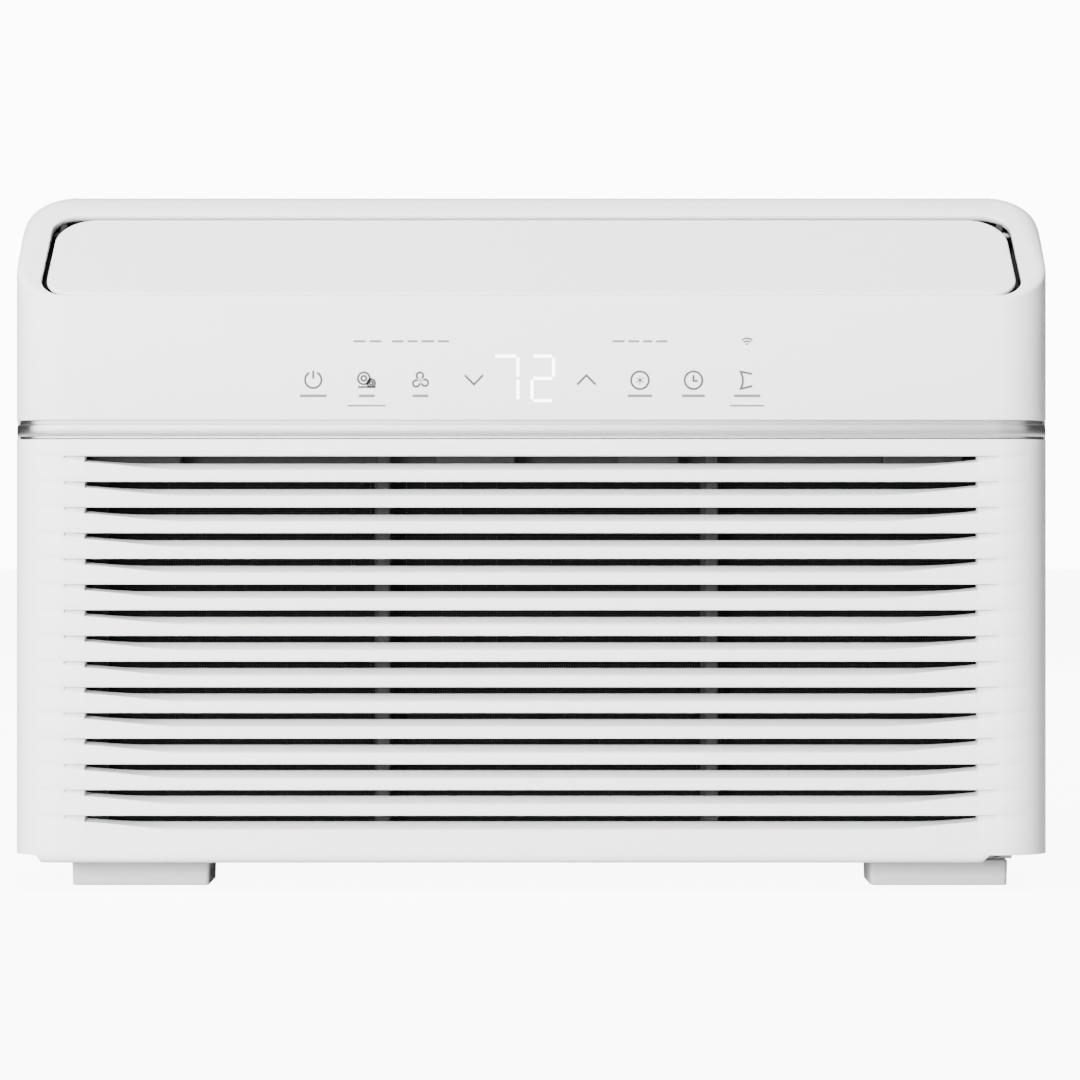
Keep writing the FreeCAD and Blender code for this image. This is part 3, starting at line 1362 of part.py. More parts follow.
def base_pan():
    """A folded sheet pan with a flange up all four sides."""
    back = deep("rear_setback - 2")
    outer = block("pan_outer", ("-pan_half", "pan_half"), (deep("pan_setback"), back),
                  ("foot_height", "foot_height + pan_flange"))
    inner = block("pan_inner", ("-pan_half + pan_sheet", "pan_half - pan_sheet"),
                  (deep("pan_setback + pan_sheet"), f"{back} - pan_sheet"),
                  (PAN_FLOOR, "foot_height + pan_flange + 1"))
    drain = rod("pan_drain", "z", ("plug_x", deep("plug_setback"), "foot_height - 1"), "pan_sheet + 2",
                "plug_radius")
    gland = rod("pan_gland", "y", ("gland_x", deep("pan_setback - 1"), "gland_high"), "pan_sheet + 2",
                "gland_radius")
    holes = screw_holes("pan_side", cabinet_screw_places(), "cabinet_screw_length + 2")
    return name_piece(cut("pan", outer, inner, drain, gland, *holes), "base_pan")


def cabinet():
    """A folded sheet over the top and down both sides, with louvre slots beside the fan."""
    span = (deep("cabinet_setback"), deep("rear_setback"))
    outer = prism("cabinet_outer", "y", span,
                  rectangle(("-cabinet_half", "cabinet_half"), ("cheek_bottom", "cabinet_top")))
    round_edges(outer, "cabinet_outer_round", "cabinet_radius",
                lambda box: box.YLength > 100 and box.ZMin > value_of("cabinet_top - 1"))
    inside = "(cabinet_half - cabinet_sheet)"
    inner = prism("cabinet_inner", "y", (f"{span[0]} - 1", f"{span[1]} + 1"),
                  rectangle((f"-{inside}", inside), ("cheek_bottom - 1", "cabinet_top - cabinet_sheet")))
    round_edges(inner, "cabinet_inner_round", "cabinet_radius - cabinet_sheet",
                lambda box: box.YLength > 100 and box.ZMin > value_of("cabinet_top - cabinet_sheet - 1"))
    slots = []
    for bank, start in (("front", "louvre_front"), ("rear", "louvre_front_second")):
        for row in range(int(value_of("louvre_rows"))):
            low = f"louvre_low + louvre_pitch * {row}"
            slots.append(block(f"louvre_{bank}_{row + 1}", ("-cabinet_half - 1", "cabinet_half + 1"),
                               (deep(start), deep(f"{start} + louvre_length")),
                               (low, f"{low} + louvre_height")))
    for side in (-1, 1):
        slots.append(rod(f"rail_hole_{side + 2}", "z",
                         (f"{side} * rail_hole_spacing / 2", deep("rail_hole_setback"),
                     "cabinet_top - 4"), "8", "rail_hole_radius"))
        for row in range(2):
            slots.append(rod(f"side_hole_{side + 2}_{row + 1}", "x", (f"{side} * cabinet_half - 4",
                         deep("rail_hole_setback"), f"side_hole_low + side_hole_spacing * {row}"), "8",
                         "rail_hole_radius"))
    slots += screw_holes("cabinet_front", bezel_screw_places(), "screw_length + 2")
    slots += screw_holes("cabinet_low", cabinet_screw_places(), "screw_length")
    return name_piece(cut("cabinet_open", outer, inner, *slots), "cabinet")


def rear_guard():
    """A flat frame of thin bars over the condenser."""
    y_span = (deep("rear_setback"), deep("body_depth"))
    frame = block("guard_plate", ("-cabinet_half", "cabinet_half"), y_span, ("cheek_bottom", "cabinet_top"))
    recess = block("guard_recess", ("-cabinet_half + guard_border - 4", "cabinet_half - guard_border + 4"),
                   (deep("rear_setback - 1"), deep("body_depth - guard_bar")),
                   ("cheek_bottom + guard_border - 4", "cabinet_top - guard_border + 4"))
    slots = []
    columns = int(value_of("guard_columns"))
    width = "((2 * cabinet_half - 2 * guard_border - guard_bar * (guard_columns - 1)) / guard_columns)"
    step = "((cabinet_top - cheek_bottom - 2 * guard_border + guard_bar) / guard_rows)"
    for column in range(columns):
        left = f"-cabinet_half + guard_border + ({width} + guard_bar) * {column}"
        for row in range(int(value_of("guard_rows"))):
            low = f"cheek_bottom + guard_border + {step} * {row}"
            slots.append(block(f"guard_slot_{column + 1}_{row + 1}", (left, f"{left} + {width}"),
                               (deep("rear_setback - 1"), deep("body_depth + 1")),
                               (low, f"{low} + {step} - guard_bar")))
    return name_piece(cut("guard", frame, recess, *slots), "rear_guard")


def feet():
    """Two pairs of blocks under the base, one pair under the front and one under the back."""
    spans = {"left": ("foot_left_end", "foot_left_end + foot_width"),
             "right": ("foot_right_end - foot_width", "foot_right_end")}
    rows = {"front": (deep("foot_setback"), deep("foot_setback + foot_depth")),
            "rear": (deep("rear_setback - foot_rear_gap - foot_depth"), deep("rear_setback - foot_rear_gap"))}
    for row, y_span in rows.items():
        pair = doc.addObject("Part::Compound", f"{row}_pair")
        pair.Links = [prism(f"foot_{row}_{side}", "z", ("0", "foot_height"), rectangle(x_span, y_span))
                      for side, x_span in spans.items()]
        name_piece(pair, f"{row}_feet")


def screws(label, length, places):
    """A group of pan-head screws, each from a seat point and an inward direction."""
    group = []
    for seat, inward in places:
        base, ahead = FreeCAD.Vector(*seat), FreeCAD.Vector(*inward)
        shank = Part.makeCylinder(value_of("screw_radius"), value_of(length), base, ahead)
        head = Part.makeCylinder(value_of("screw_head_radius"), value_of("screw_head"), base, ahead * -1)
        group.append(head.fuse(shank))
    return name_piece(shaped(label, Part.makeCompound(group)), label)


def numbers(place):
    """A place's three formulas as numbers."""
    return tuple(value_of(text) for text in place)


def bezel_screw_places():
    """The seat of each screw through the bezel into the cabinet, and its way in along X."""
    return [((f"{side} * (body_width / 2 - screw_head)", deep("bezel_screw_setback"),
              f"bezel_screw_low + bezel_screw_spacing * {row}"), -side) for side in (-1,
                                                                                     1) for row in range(2)]


def cabinet_screw_places():
    """The seat of each screw through the cabinet into the pan's flange, and its way in along X."""
    return [((f"{side} * cabinet_half", deep(f"rear_setback * {share}"), "cabinet_screw_high"), -side)
            for side in (-1, 1) for share in (0.28, 0.6, 0.92)]


def bezel_screws():
    places = [(numbers(seat), (way, 0, 0)) for seat, way in bezel_screw_places()]
    return screws("bezel_screws", "screw_length", places)


def cabinet_screws():
    places = [(numbers(seat), (way, 0, 0)) for seat, way in cabinet_screw_places()]
    return screws("cabinet_screws", "cabinet_screw_length", places)


def screw_holes(name, places, reach):
    """A clearance hole for each screw, reaching both ways from its seat."""
    return [rod(f"{name}_{number}", "x", (f"{seat[0]} - ({reach})", seat[1], seat[2]), f"2 * ({reach})",
                "screw_radius + shaft_fit") for number, (seat, _) in enumerate(places, start=1)]


def cord_gland():
    """The bushing in the pan's front flange where the mains lead comes out."""
    lip = rod("gland_front", "y", ("gland_x", deep("pan_setback - gland_lip"), "gland_high"), "gland_lip",
              "gland_radius + 1")
    neck = rod("gland_neck", "y", ("gland_x", deep("pan_setback - gland_lip"), "gland_high"),
               "gland_lip + pan_sheet + 5",
               "gland_radius - shaft_fit")
    bore = rod("gland_hole", "y", ("gland_x", deep("pan_setback - gland_lip - 1"), "gland_high"), "20",
               "gland_bore")
    return name_piece(cut("gland", join("gland_solid", lip, neck), bore), "cord_gland")


def drain_plug():
    cap = rod("plug_cap", "z", ("plug_x", deep("plug_setback"), "foot_height - 3"), "3", "plug_radius + 3")
    stem = rod("plug_stem", "z", ("plug_x", deep("plug_setback"), "foot_height - 1"), "pan_sheet + 5",
               "plug_radius - shaft_fit")
    return name_piece(join("plug", cap, stem), "drain_plug")


# ---------------------------------------------------------------- build, test and write

MAKERS = [
    front_bezel, bottom_rail, trim_strip, intake_grille, outlet_flap, flap_drive_shaft, flap_motor,
    filter_frame, filter_mesh, intake_frame, sensor_clip, evaporator, drain_tray,
    motor_shaft, fan_motor, motor_bracket, blower_wheel, condenser_fan, fan_nuts,
    scroll_housing, scroll_cover, outlet_duct, air_vanes, vane_link, bulkhead, fan_shroud, condenser,
    compressor, compressor_grommets, compressor_studs, terminal_cover, accumulator,
    discharge_pipe, suction_pipe, filter_drier, liquid_pipe, capillary_tube, control_board, display_module,
    electronics_box,
    base_pan, cabinet, rear_guard, feet, bezel_screws, cabinet_screws, cord_gland, drain_plug,
]


def write_pieces():
    """Tests every object and piece, then writes one file for each piece."""
    doc.recompute()
    failed = [thing.Name for thing in doc.Objects if {"Invalid", "Error"} & set(thing.State)]
    if failed:
        raise RuntimeError(f"these objects failed: {failed}")
    for piece in pieces:
        if piece.Shape.isNull() or not piece.Shape.isValid() or not piece.Shape.Solids:
            raise RuntimeError(f"{piece.Label} has no valid solid")
    os.makedirs("parts", exist_ok=True)
    for piece in pieces:
        piece.Shape.exportStep(f"parts/{piece.Label}.step")
        box = piece.Shape.BoundBox
        print(f"{piece.Label}: {len(piece.Shape.Solids)} solids, {piece.Shape.Volume / 1000:.1f} cm3, "
              f"X {box.XMin:.1f}..{box.XMax:.1f} Y {box.YMin:.1f}..{box.YMax:.1f}"
              f" Z {box.ZMin:.1f}..{box.ZMax:.1f}")


for maker in MAKERS:
    maker()
write_pieces()
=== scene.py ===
"""Looks of a window air conditioner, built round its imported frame. Metres, +Z up, the front faces -Y."""
import json
import logging
import math
from dataclasses import dataclass, field
from enum import Enum
from typing import Optional, Sequence

import bmesh
import bpy
import numpy as np
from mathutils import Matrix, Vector


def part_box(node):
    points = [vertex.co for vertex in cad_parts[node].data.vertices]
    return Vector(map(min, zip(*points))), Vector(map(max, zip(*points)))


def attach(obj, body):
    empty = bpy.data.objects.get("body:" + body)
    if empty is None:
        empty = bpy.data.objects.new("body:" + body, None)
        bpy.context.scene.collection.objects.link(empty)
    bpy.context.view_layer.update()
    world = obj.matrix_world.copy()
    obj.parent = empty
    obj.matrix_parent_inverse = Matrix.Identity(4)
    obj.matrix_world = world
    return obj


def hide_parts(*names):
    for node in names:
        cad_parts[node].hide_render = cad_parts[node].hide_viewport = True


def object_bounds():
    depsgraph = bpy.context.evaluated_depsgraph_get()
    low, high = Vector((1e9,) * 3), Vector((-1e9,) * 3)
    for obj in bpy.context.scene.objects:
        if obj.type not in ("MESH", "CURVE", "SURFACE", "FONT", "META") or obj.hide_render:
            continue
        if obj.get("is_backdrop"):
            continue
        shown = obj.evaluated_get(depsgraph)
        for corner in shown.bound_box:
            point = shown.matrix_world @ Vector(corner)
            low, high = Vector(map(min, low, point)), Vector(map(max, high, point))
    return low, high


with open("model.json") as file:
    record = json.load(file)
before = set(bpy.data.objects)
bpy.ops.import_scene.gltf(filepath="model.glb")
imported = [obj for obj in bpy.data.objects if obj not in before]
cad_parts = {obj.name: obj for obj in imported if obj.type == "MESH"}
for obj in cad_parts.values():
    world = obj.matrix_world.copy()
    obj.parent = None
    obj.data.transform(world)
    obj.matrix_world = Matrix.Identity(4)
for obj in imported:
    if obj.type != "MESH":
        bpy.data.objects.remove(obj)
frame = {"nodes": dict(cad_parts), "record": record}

log = logging.getLogger("window_air_conditioner")
MM = 0.001

COAT_ROUGH = 0.18          # roughness of a clear coat
BUMP_STRENGTH = 0.6        # share of a grain's height that shows
LAMP_STRENGTH = 6.0        # glow of the lit number
NET_OPEN = 0.975           # a net is open where both of its waves are above this
EDGE_START, EDGE_GAIN = 0.53, 12.0    # pointiness where the rub starts, and how fast it grows
EDGE_GLOSS = 0.25          # share of its roughness that a rubbed edge loses


# ---------------------------------------------------------------- places

def span(node: str) -> tuple[np.ndarray, np.ndarray]:
    """Gives a node's lowest and highest corners.

    Args:
        node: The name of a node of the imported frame.

    Returns:
        The two corners, in millimetres.
    """
    low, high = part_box(node)
    return np.array(low) / MM, np.array(high) / MM


@dataclass(frozen=True)
class Face:
    """The shape of the front that several sub-assemblies share.

    Attributes:
        front: Y of the front face, in mm.
        half: Half the width of the front, in mm.
        corner: Radius of the two upright corners, in mm.
        slope_low: Z where the front face turns into the slope, in mm.
        slope_deep: How far behind the front face the slope ends, in mm.
        top: Z of the flat top, in mm.
        blend: How far the turn from the slope to the top is softened, in mm.
    """

    front: float
    half: float
    top: float
    corner: float = 28.0
    slope_low: float = 319.4
    slope_deep: float = 78.0
    blend: float = 7.0

    @property
    def angle(self) -> float:
        """The slope's angle above the level, in radians."""
        return math.atan((self.top - self.slope_low) / self.slope_deep)

    def roof(self, deep: np.ndarray) -> np.ndarray:
        """Gives the height of the slope and top, the lower of the two planes with their meeting softened.

        Args:
            deep: Depths behind the front face, in mm.

        Returns:
            Heights, in mm.
        """
        slope = self.slope_low + deep * math.tan(self.angle)
        near = np.maximum(self.blend - np.abs(slope - self.top), 0.0) / self.blend
        return np.minimum(slope, self.top) - near**2 * self.blend / 4

    def outward(self, plan: np.ndarray) -> np.ndarray:
        """Gives the outward normals of the front's plan, which turn with its two round corners.

        Args:
            plan: Points (x, depth) on the plan, in mm.

        Returns:
            Unit vectors (x, depth).
        """
        inner = self.half - self.corner
        centre = np.stack([np.clip(plan[:, 0], -inner, inner), np.maximum(plan[:, 1], self.corner)], axis=-1)
        normal = plan - centre
        return normal / np.linalg.norm(normal, axis=1, keepdims=True)

    def at(self, x: np.ndarray, deep: np.ndarray, z: np.ndarray) -> np.ndarray:
        """Turns places given by depth into points.

        Args:
            x: X, in mm.
            deep: Depth behind the front face, in mm.
            z: Z, in mm.

        Returns:
            Points in metres, with the shape that the three have together.
        """
        x, deep, z = np.broadcast_arrays(x, deep, z)
        return np.stack([x, self.front + deep, z], axis=-1) * MM

    def on_slope(self, x: np.ndarray, run: np.ndarray, rise: np.ndarray) -> np.ndarray:
        """Turns places on the slope into points.

        Args:
            x: X, in mm.
            run: How far up the slope from its front edge, in mm.
            rise: How far above its surface, in mm.

        Returns:
            Points in metres.
        """
        deep = run * math.cos(self.angle) - rise * math.sin(self.angle)
        z = self.slope_low + run * math.sin(self.angle) + rise * math.cos(self.angle)
        return self.at(x, deep, z)


# ---------------------------------------------------------------- meshes

@dataclass
class Shell:
    """Collects grids of points into one mesh."""

    points: list[np.ndarray] = field(default_factory=list)
    quads: list[np.ndarray] = field(default_factory=list)
    caps: list[list[int]] = field(default_factory=list)
    count: int = 0

    def grid(self, points: np.ndarray, keep: Optional[np.ndarray] = None, closed: bool = False,
             flip: bool = False) -> np.ndarray:
        """Adds a grid whose faces point along its columns' direction crossed with its rows' direction.

        Args:
            points: Points with shape (rows, columns, 3), in metres.
            keep: Which faces to keep, with shape (rows - 1, columns - 1); all of them if it is left out.
            closed: Whether the last column joins the first.
            flip: Whether the faces point the other way.

        Returns:
            The vertex numbers, with shape (rows, columns).
        """
        rows, columns = points.shape[:2]
        number = np.arange(rows * columns).reshape(rows, columns) + self.count
        ring = np.concatenate([number, number[:, :1]], axis=1) if closed else number
        quads = np.stack([ring[:-1, :-1], ring[:-1, 1:], ring[1:, 1:], ring[1:, :-1]], axis=-1)
        quads = quads[keep] if keep is not None else quads.reshape(-1, 4)
        self.points.append(points.reshape(-1, 3))
        self.quads.append(quads[:, ::-1] if flip else quads)
        self.count += rows * columns
        return number

    def tube(self, points: np.ndarray) -> None:
        """Adds a closed tube of rings and a flat cap on each end.

        Args:
            points: Rings of points with shape (rings, around, 3), in metres.
        """
        number = self.grid(points, closed=True)
        self.caps.append(number[0][::-1].tolist())
        self.caps.append(number[-1].tolist())

    def build(self, name: str, weld: float = 2e-6, sharp: float = 35.0,
              outward: bool = True) -> bpy.types.Object:
        """Makes the object.

        Args:
            name: The piece's name.
            weld: Points nearer than this are made one, in metres.
            sharp: Edges that turn by more than this stay sharp, in degrees.
            outward: Whether the faces are turned to point outward, which suits a closed form.

        Returns:
            The object, linked to the scene.
        """
        mesh = bpy.data.meshes.new(name)
        faces = np.concatenate(self.quads).tolist() if self.quads else []
        mesh.from_pydata(np.concatenate(self.points), [], faces + self.caps)
        work = bmesh.new()
        work.from_mesh(mesh)
        bmesh.ops.remove_doubles(work, verts=work.verts, dist=weld)
        bmesh.ops.dissolve_degenerate(work, dist=weld, edges=work.edges)
        if outward:
            bmesh.ops.recalc_face_normals(work, faces=work.faces)
        work.to_mesh(mesh)
        work.free()
        mesh.shade_smooth()
        mesh.set_sharp_from_angle(angle=math.radians(sharp))
        thing = bpy.data.objects.new(name, mesh)
        bpy.context.scene.collection.objects.link(thing)
        return thing


def arc(centre: tuple[float, float], radius: float, start: float, end: float, count: int) -> np.ndarray:
    """Gives points along an arc.

    Args:
        centre: The arc's centre.
        radius: Its radius.
        start: Its first angle, in degrees.
        end: Its last angle, in degrees.
        count: How many points.

    Returns:
        Points with shape (count, 2).
    """
    turn = np.radians(np.linspace(start, end, count))
    return np.stack([centre[0] + radius * np.cos(turn), centre[1] + radius * np.sin(turn)], axis=-1)


def line(start: Sequence[float], end: Sequence[float], count: int) -> np.ndarray:
    """Gives points along a straight line.

    Args:
        start: The first point.
        end: The last point.
        count: How many points.

    Returns:
        Points with shape (count, dimensions).
    """
    return np.linspace(np.array(start, float), np.array(end, float), count)


def rounded(low: Sequence[float], high: Sequence[float], radius: float, around: int = 6) -> np.ndarray:
    """Gives the outline of a rounded rectangle, counter-clockwise.

    Args:
        low: The lowest corner.
        high: The highest corner.
        radius: The corners' radius.
        around: How many points each corner has.

    Returns:
        Points with shape (4 * around, 2).
    """
    radius = min(radius, (high[0] - low[0]) / 2 - 1e-6, (high[1] - low[1]) / 2 - 1e-6)
    corners = ((high[0] - radius, low[1] + radius, -90), (high[0] - radius, high[1] - radius, 0),
               (low[0] + radius, high[1] - radius, 90), (low[0] + radius, low[1] + radius, 180))
    return np.concatenate([arc((x, y), radius, turn, turn + 90, around) for x, y, turn in corners])


def soft_block(shell: Shell, low: Sequence[float], high: Sequence[float], radius: float, edge: float,
               taper: float = 0.0) -> None:
    """Adds a block with rounded upright corners, softened edges and sides that draw in downward.

    Its outline is a rounded rectangle; each ring is that outline moved in by edge * (1 - sin a) while the
    height moves by edge * (1 - cos a), for a from 0 to 90 degrees.

    Args:
        shell: What the block is added to.
        low: The lowest corner, in mm.
        high: The highest corner, in mm.
        radius: The radius of the upright corners, in mm.
        edge: The radius of the edges, in mm.
        taper: How much the foot of the sides draws in, in mm.
    """
    turn = np.radians(np.linspace(0, 90, 5))
    inset = np.concatenate([edge * (1 - np.sin(turn)) + taper, edge * (1 - np.sin(turn))[::-1]])
    level = np.concatenate([low[2] + edge * (1 - np.cos(turn)), high[2] - edge * (1 - np.cos(turn))[::-1]])
    rings = []
    for step, height in zip(inset, level):
        outline = rounded((low[0] + step, low[1] + step), (high[0] - step, high[1] - step), radius)
        rings.append(np.column_stack([outline, np.full(len(outline), height)]))
    shell.tube(np.array(rings) * MM)


def rod(shell: Shell, start: Sequence[float], end: Sequence[float], radius: float, edge: float = 0.5,
        around: int = 28) -> None:
    """Adds a round rod with softened ends.

    Args:
        shell: What the rod is added to.
        start: The middle of one end, in mm.
        end: The middle of the other end, in mm.
        radius: Its radius, in mm.
        edge: The radius of the end edges, in mm.
        around: How many points go round it.
    """
    start, end = np.array(start, float), np.array(end, float)
    along = (end - start) / np.linalg.norm(end - start)
    side = np.cross(along, (0.0, 0.0, 1.0) if abs(along[2]) < 0.9 else (1.0, 0.0, 0.0))
    side /= np.linalg.norm(side)
    other = np.cross(along, side)
    turn = np.linspace(0, 2 * math.pi, around, endpoint=False)
    circle = np.cos(turn)[:, None] * side + np.sin(turn)[:, None] * other
    rings = [start + circle * (radius - edge), start + along * edge + circle * radius,
             end - along * edge + circle * radius, end + circle * (radius - edge)]
    shell.tube(np.array(rings) * MM)


def fade(value: np.ndarray) -> np.ndarray:
    """Gives a smooth step from 0 to 1, 3 v^2 - 2 v^3, for values from 0 to 1."""
    value = np.clip(value, 0.0, 1.0)
    return value * value * (3 - 2 * value)


def thicken(thing: bpy.types.Object, thickness: float) -> None:
    """Gives an open sheet a wall that lies behind it.

    Args:
        thing: The piece.
        thickness: The wall's thickness, in mm.
    """
    wall = thing.modifiers.new("wall", "SOLIDIFY")
    wall.thickness = thickness * MM
    wall.offset = -1.0


# ---------------------------------------------------------------- finishes

class Recipe(Enum):
    """How a finish is laid down."""

    MOULDED = "moulded"
    PLATED = "plated"
    COATED = "coated"
    SPANGLE = "spangle"
    DRAWN = "drawn"
    FOAM = "foam"
    NET = "net"
    LAMP = "lamp"


@dataclass(frozen=True)
class Finish:
    """The numbers of one finish.

    Attributes:
        slot: The record's material slot.
        recipe: How it is laid down.
        colour: Its linear base colour.
        rough: Its roughness.
        metal: Its metallic value.
        coat: Its clear coat's weight.
        grain: The size of its grain, in mm.
        bump: The height of its grain, in mm.
        vary: How much its tone varies, from 0 to 1.
    """

    slot: str
    recipe: Recipe
    colour: tuple[float, float, float]
    rough: float
    metal: float = 0.0
    coat: float = 0.0
    grain: float = 0.5
    bump: float = 0.01
    vary: float = 0.04


FINISHES = {finish.slot: finish for finish in (
    Finish("white_plastic", Recipe.MOULDED, (0.83, 0.832, 0.835), 0.36, coat=0.12, grain=0.45, bump=0.006,
           vary=0.015),
    Finish("chrome_trim", Recipe.PLATED, (0.80, 0.80, 0.81), 0.22, metal=1.0, grain=3.0, bump=0.002,
           vary=0.01),
    Finish("dark_plastic", Recipe.MOULDED, (0.024, 0.0245, 0.026), 0.55, grain=0.4, bump=0.02, vary=0.10),
    Finish("grey_plastic", Recipe.MOULDED, (0.36, 0.37, 0.385), 0.48, grain=0.5, bump=0.01, vary=0.05),
    Finish("filter_net", Recipe.NET, (0.004, 0.004, 0.004), 0.9, grain=1.3, bump=0.15, vary=0.10),
    Finish("foam_white", Recipe.FOAM, (0.78, 0.78, 0.76), 0.75, grain=3.0, bump=0.15, vary=0.05),
    Finish("coil_fin", Recipe.DRAWN, (0.50, 0.55, 0.57), 0.38, metal=0.85, grain=1.5, bump=0.02, vary=0.08),
    Finish("copper_pipe", Recipe.DRAWN, (0.62, 0.27, 0.14), 0.33, metal=1.0, grain=2.0, bump=0.01, vary=0.20),
    Finish("galvanised_steel", Recipe.SPANGLE, (0.50, 0.51, 0.52), 0.40, metal=0.9, grain=9.0, bump=0.01,
           vary=0.16),
    Finish("painted_steel", Recipe.COATED, (0.66, 0.662, 0.655), 0.46, grain=0.8, bump=0.02, vary=0.04),
    Finish("black_steel", Recipe.COATED, (0.016, 0.016, 0.018), 0.30, coat=0.3, grain=1.2, bump=0.02,
           vary=0.15),
    Finish("zinc_screw", Recipe.DRAWN, (0.56, 0.56, 0.55), 0.30, metal=1.0, grain=0.6, bump=0.01, vary=0.12),
    Finish("black_rubber", Recipe.MOULDED, (0.022, 0.022, 0.023), 0.80, grain=0.3, bump=0.02, vary=0.15),
    Finish("motor_white", Recipe.MOULDED, (0.70, 0.70, 0.67), 0.30, coat=0.2, grain=0.5, bump=0.004,
           vary=0.03),
    Finish("board_green", Recipe.COATED, (0.018, 0.11, 0.045), 0.32, coat=0.4, grain=1.0, bump=0.02,
           vary=0.25),
    Finish("display_black", Recipe.MOULDED, (0.012, 0.012, 0.015), 0.20, coat=0.5, grain=0.5, bump=0.002,
           vary=0.05),
    # painted shade: a near-black finish that stands for the shade inside the gaps, not the parts' own colour
    Finish("painted_shade_black", Recipe.MOULDED, (0.009, 0.009, 0.009), 0.6, grain=0.5, bump=0.01, vary=0.05),
    # painted shade: a darker white than the body, standing for the shade that falls on the feet
    Finish("foot_white_painted_shade", Recipe.MOULDED, (0.46, 0.462, 0.465), 0.45, grain=0.45, bump=0.006, vary=0.02),
    Finish("print_grey", Recipe.COATED, (0.06, 0.06, 0.062), 0.45, grain=0.3, bump=0.001, vary=0.06),
    Finish("print_pale", Recipe.COATED, (0.14, 0.14, 0.143), 0.45, grain=0.3, bump=0.001, vary=0.06),
    Finish("digit_light", Recipe.LAMP, (1.0, 1.0, 1.0), 0.40, grain=0.3, bump=0.001, vary=0.02),
)}


@dataclass
class Nodes:
    """A short way to lay down shader nodes in one tree."""

    tree: bpy.types.NodeTree

    def add(self, kind: str, **settings: object) -> bpy.types.Node:
        """Adds a node.

        Args:
            kind: The node's type, without its "ShaderNode" in front.
            settings: Its properties.

        Returns:
            The node.
        """
        made = self.tree.nodes.new(f"ShaderNode{kind}")
        for name, value in settings.items():
            setattr(made, name, value)
        return made

    def wire(self, source: object, target: object) -> None:
        """Joins an output to an input, or sets the input if the source is a plain value.

        Args:
            source: An output socket or a value.
            target: The input socket.
        """
        if isinstance(source, bpy.types.NodeSocket):
            self.tree.links.new(source, target)
        else:
            target.default_value = source

    def maths(self, operation: str, first: object, second: object = 0.0, clamp: bool = False) -> object:
        """Adds a Math node.

        Args:
            operation: The Math node's operation.
            first: The first value or socket.
            second: The second value or socket.
            clamp: Whether the result is kept from 0 to 1.

        Returns:
            The result's socket.
        """
        made = self.add("Math", operation=operation, use_clamp=clamp)
        self.wire(first, made.inputs[0])
        self.wire(second, made.inputs[1])
        return made.outputs[0]

    def scaled(self, source: object, factor: Sequence[float]) -> object:
        """Adds a stretch of coordinates.

        Args:
            source: The coordinates' socket.
            factor: What each of the three is multiplied by.

        Returns:
            The stretched coordinates' socket.
        """
        made = self.add("VectorMath", operation="MULTIPLY")
        self.wire(source, made.inputs[0])
        made.inputs[1].default_value = factor
        return made.outputs[0]


def effect(name: str, inputs: dict[str, str], outputs: dict[str, str]) -> tuple[Nodes, dict, dict]:
    """Starts a node group that several finishes share.

    Args:
        name: The group's name.
        inputs: The name and socket type of each input.
        outputs: The name and socket type of each output.

    Returns:
        The group's nodes, its inputs' sockets by name and its outputs' sockets by name.
    """
    tree = bpy.data.node_groups.new(name, "ShaderNodeTree")
    for label, kind in inputs.items():
        tree.interface.new_socket(label, in_out="INPUT", socket_type=f"NodeSocket{kind}")
    for label, kind in outputs.items():
        tree.interface.new_socket(label, in_out="OUTPUT", socket_type=f"NodeSocket{kind}")
    source = tree.nodes.new("NodeGroupInput")
    target = tree.nodes.new("NodeGroupOutput")
    return Nodes(tree), {k: source.outputs[k] for k in inputs}, {k: target.inputs[k] for k in outputs}


def grain_effect() -> bpy.types.NodeTree:
    """Makes the fine moulded grain: two noises, one at the grain's size and one five times as wide."""
    nodes, given, wanted = effect("grain", {"Place": "Vector", "Per Metre": "Float"}, {"Height": "Float"})
    fine = nodes.add("TexNoise")
    wide = nodes.add("TexNoise")
    for made, factor, detail in ((fine, 1.0, 2.0), (wide, 0.2, 1.0)):
        nodes.wire(given["Place"], made.inputs["Vector"])
        nodes.wire(nodes.maths("MULTIPLY", given["Per Metre"], factor), made.inputs["Scale"])
        made.inputs["Detail"].default_value = detail
    half = nodes.maths("MULTIPLY", wide.outputs[0], 0.5)
    nodes.wire(nodes.maths("ADD", fine.outputs[0], half), wanted["Height"])
    return nodes.tree


def tone_effect() -> bpy.types.NodeTree:
    """Makes the slow change of tone across a surface, as a factor that multiplies its colour."""
    nodes, given, wanted = effect("tone", {"Colour": "Color", "Place": "Vector", "Amount": "Float"},
                                  {"Colour": "Color"})
    cloud = nodes.add("TexNoise")
    nodes.wire(given["Place"], cloud.inputs["Vector"])
    cloud.inputs["Scale"].default_value = 11.0
    cloud.inputs["Detail"].default_value = 3.0
    swing = nodes.maths("MULTIPLY", nodes.maths("SUBTRACT", cloud.outputs[0], 0.5), given["Amount"])
    factor = nodes.maths("ADD", nodes.maths("MULTIPLY", swing, 2.0), 1.0)
    mix = nodes.add("VectorMath", operation="SCALE")
    nodes.wire(given["Colour"], mix.inputs[0])
    nodes.wire(factor, mix.inputs["Scale"])
    nodes.wire(mix.outputs[0], wanted["Colour"])
    return nodes.tree


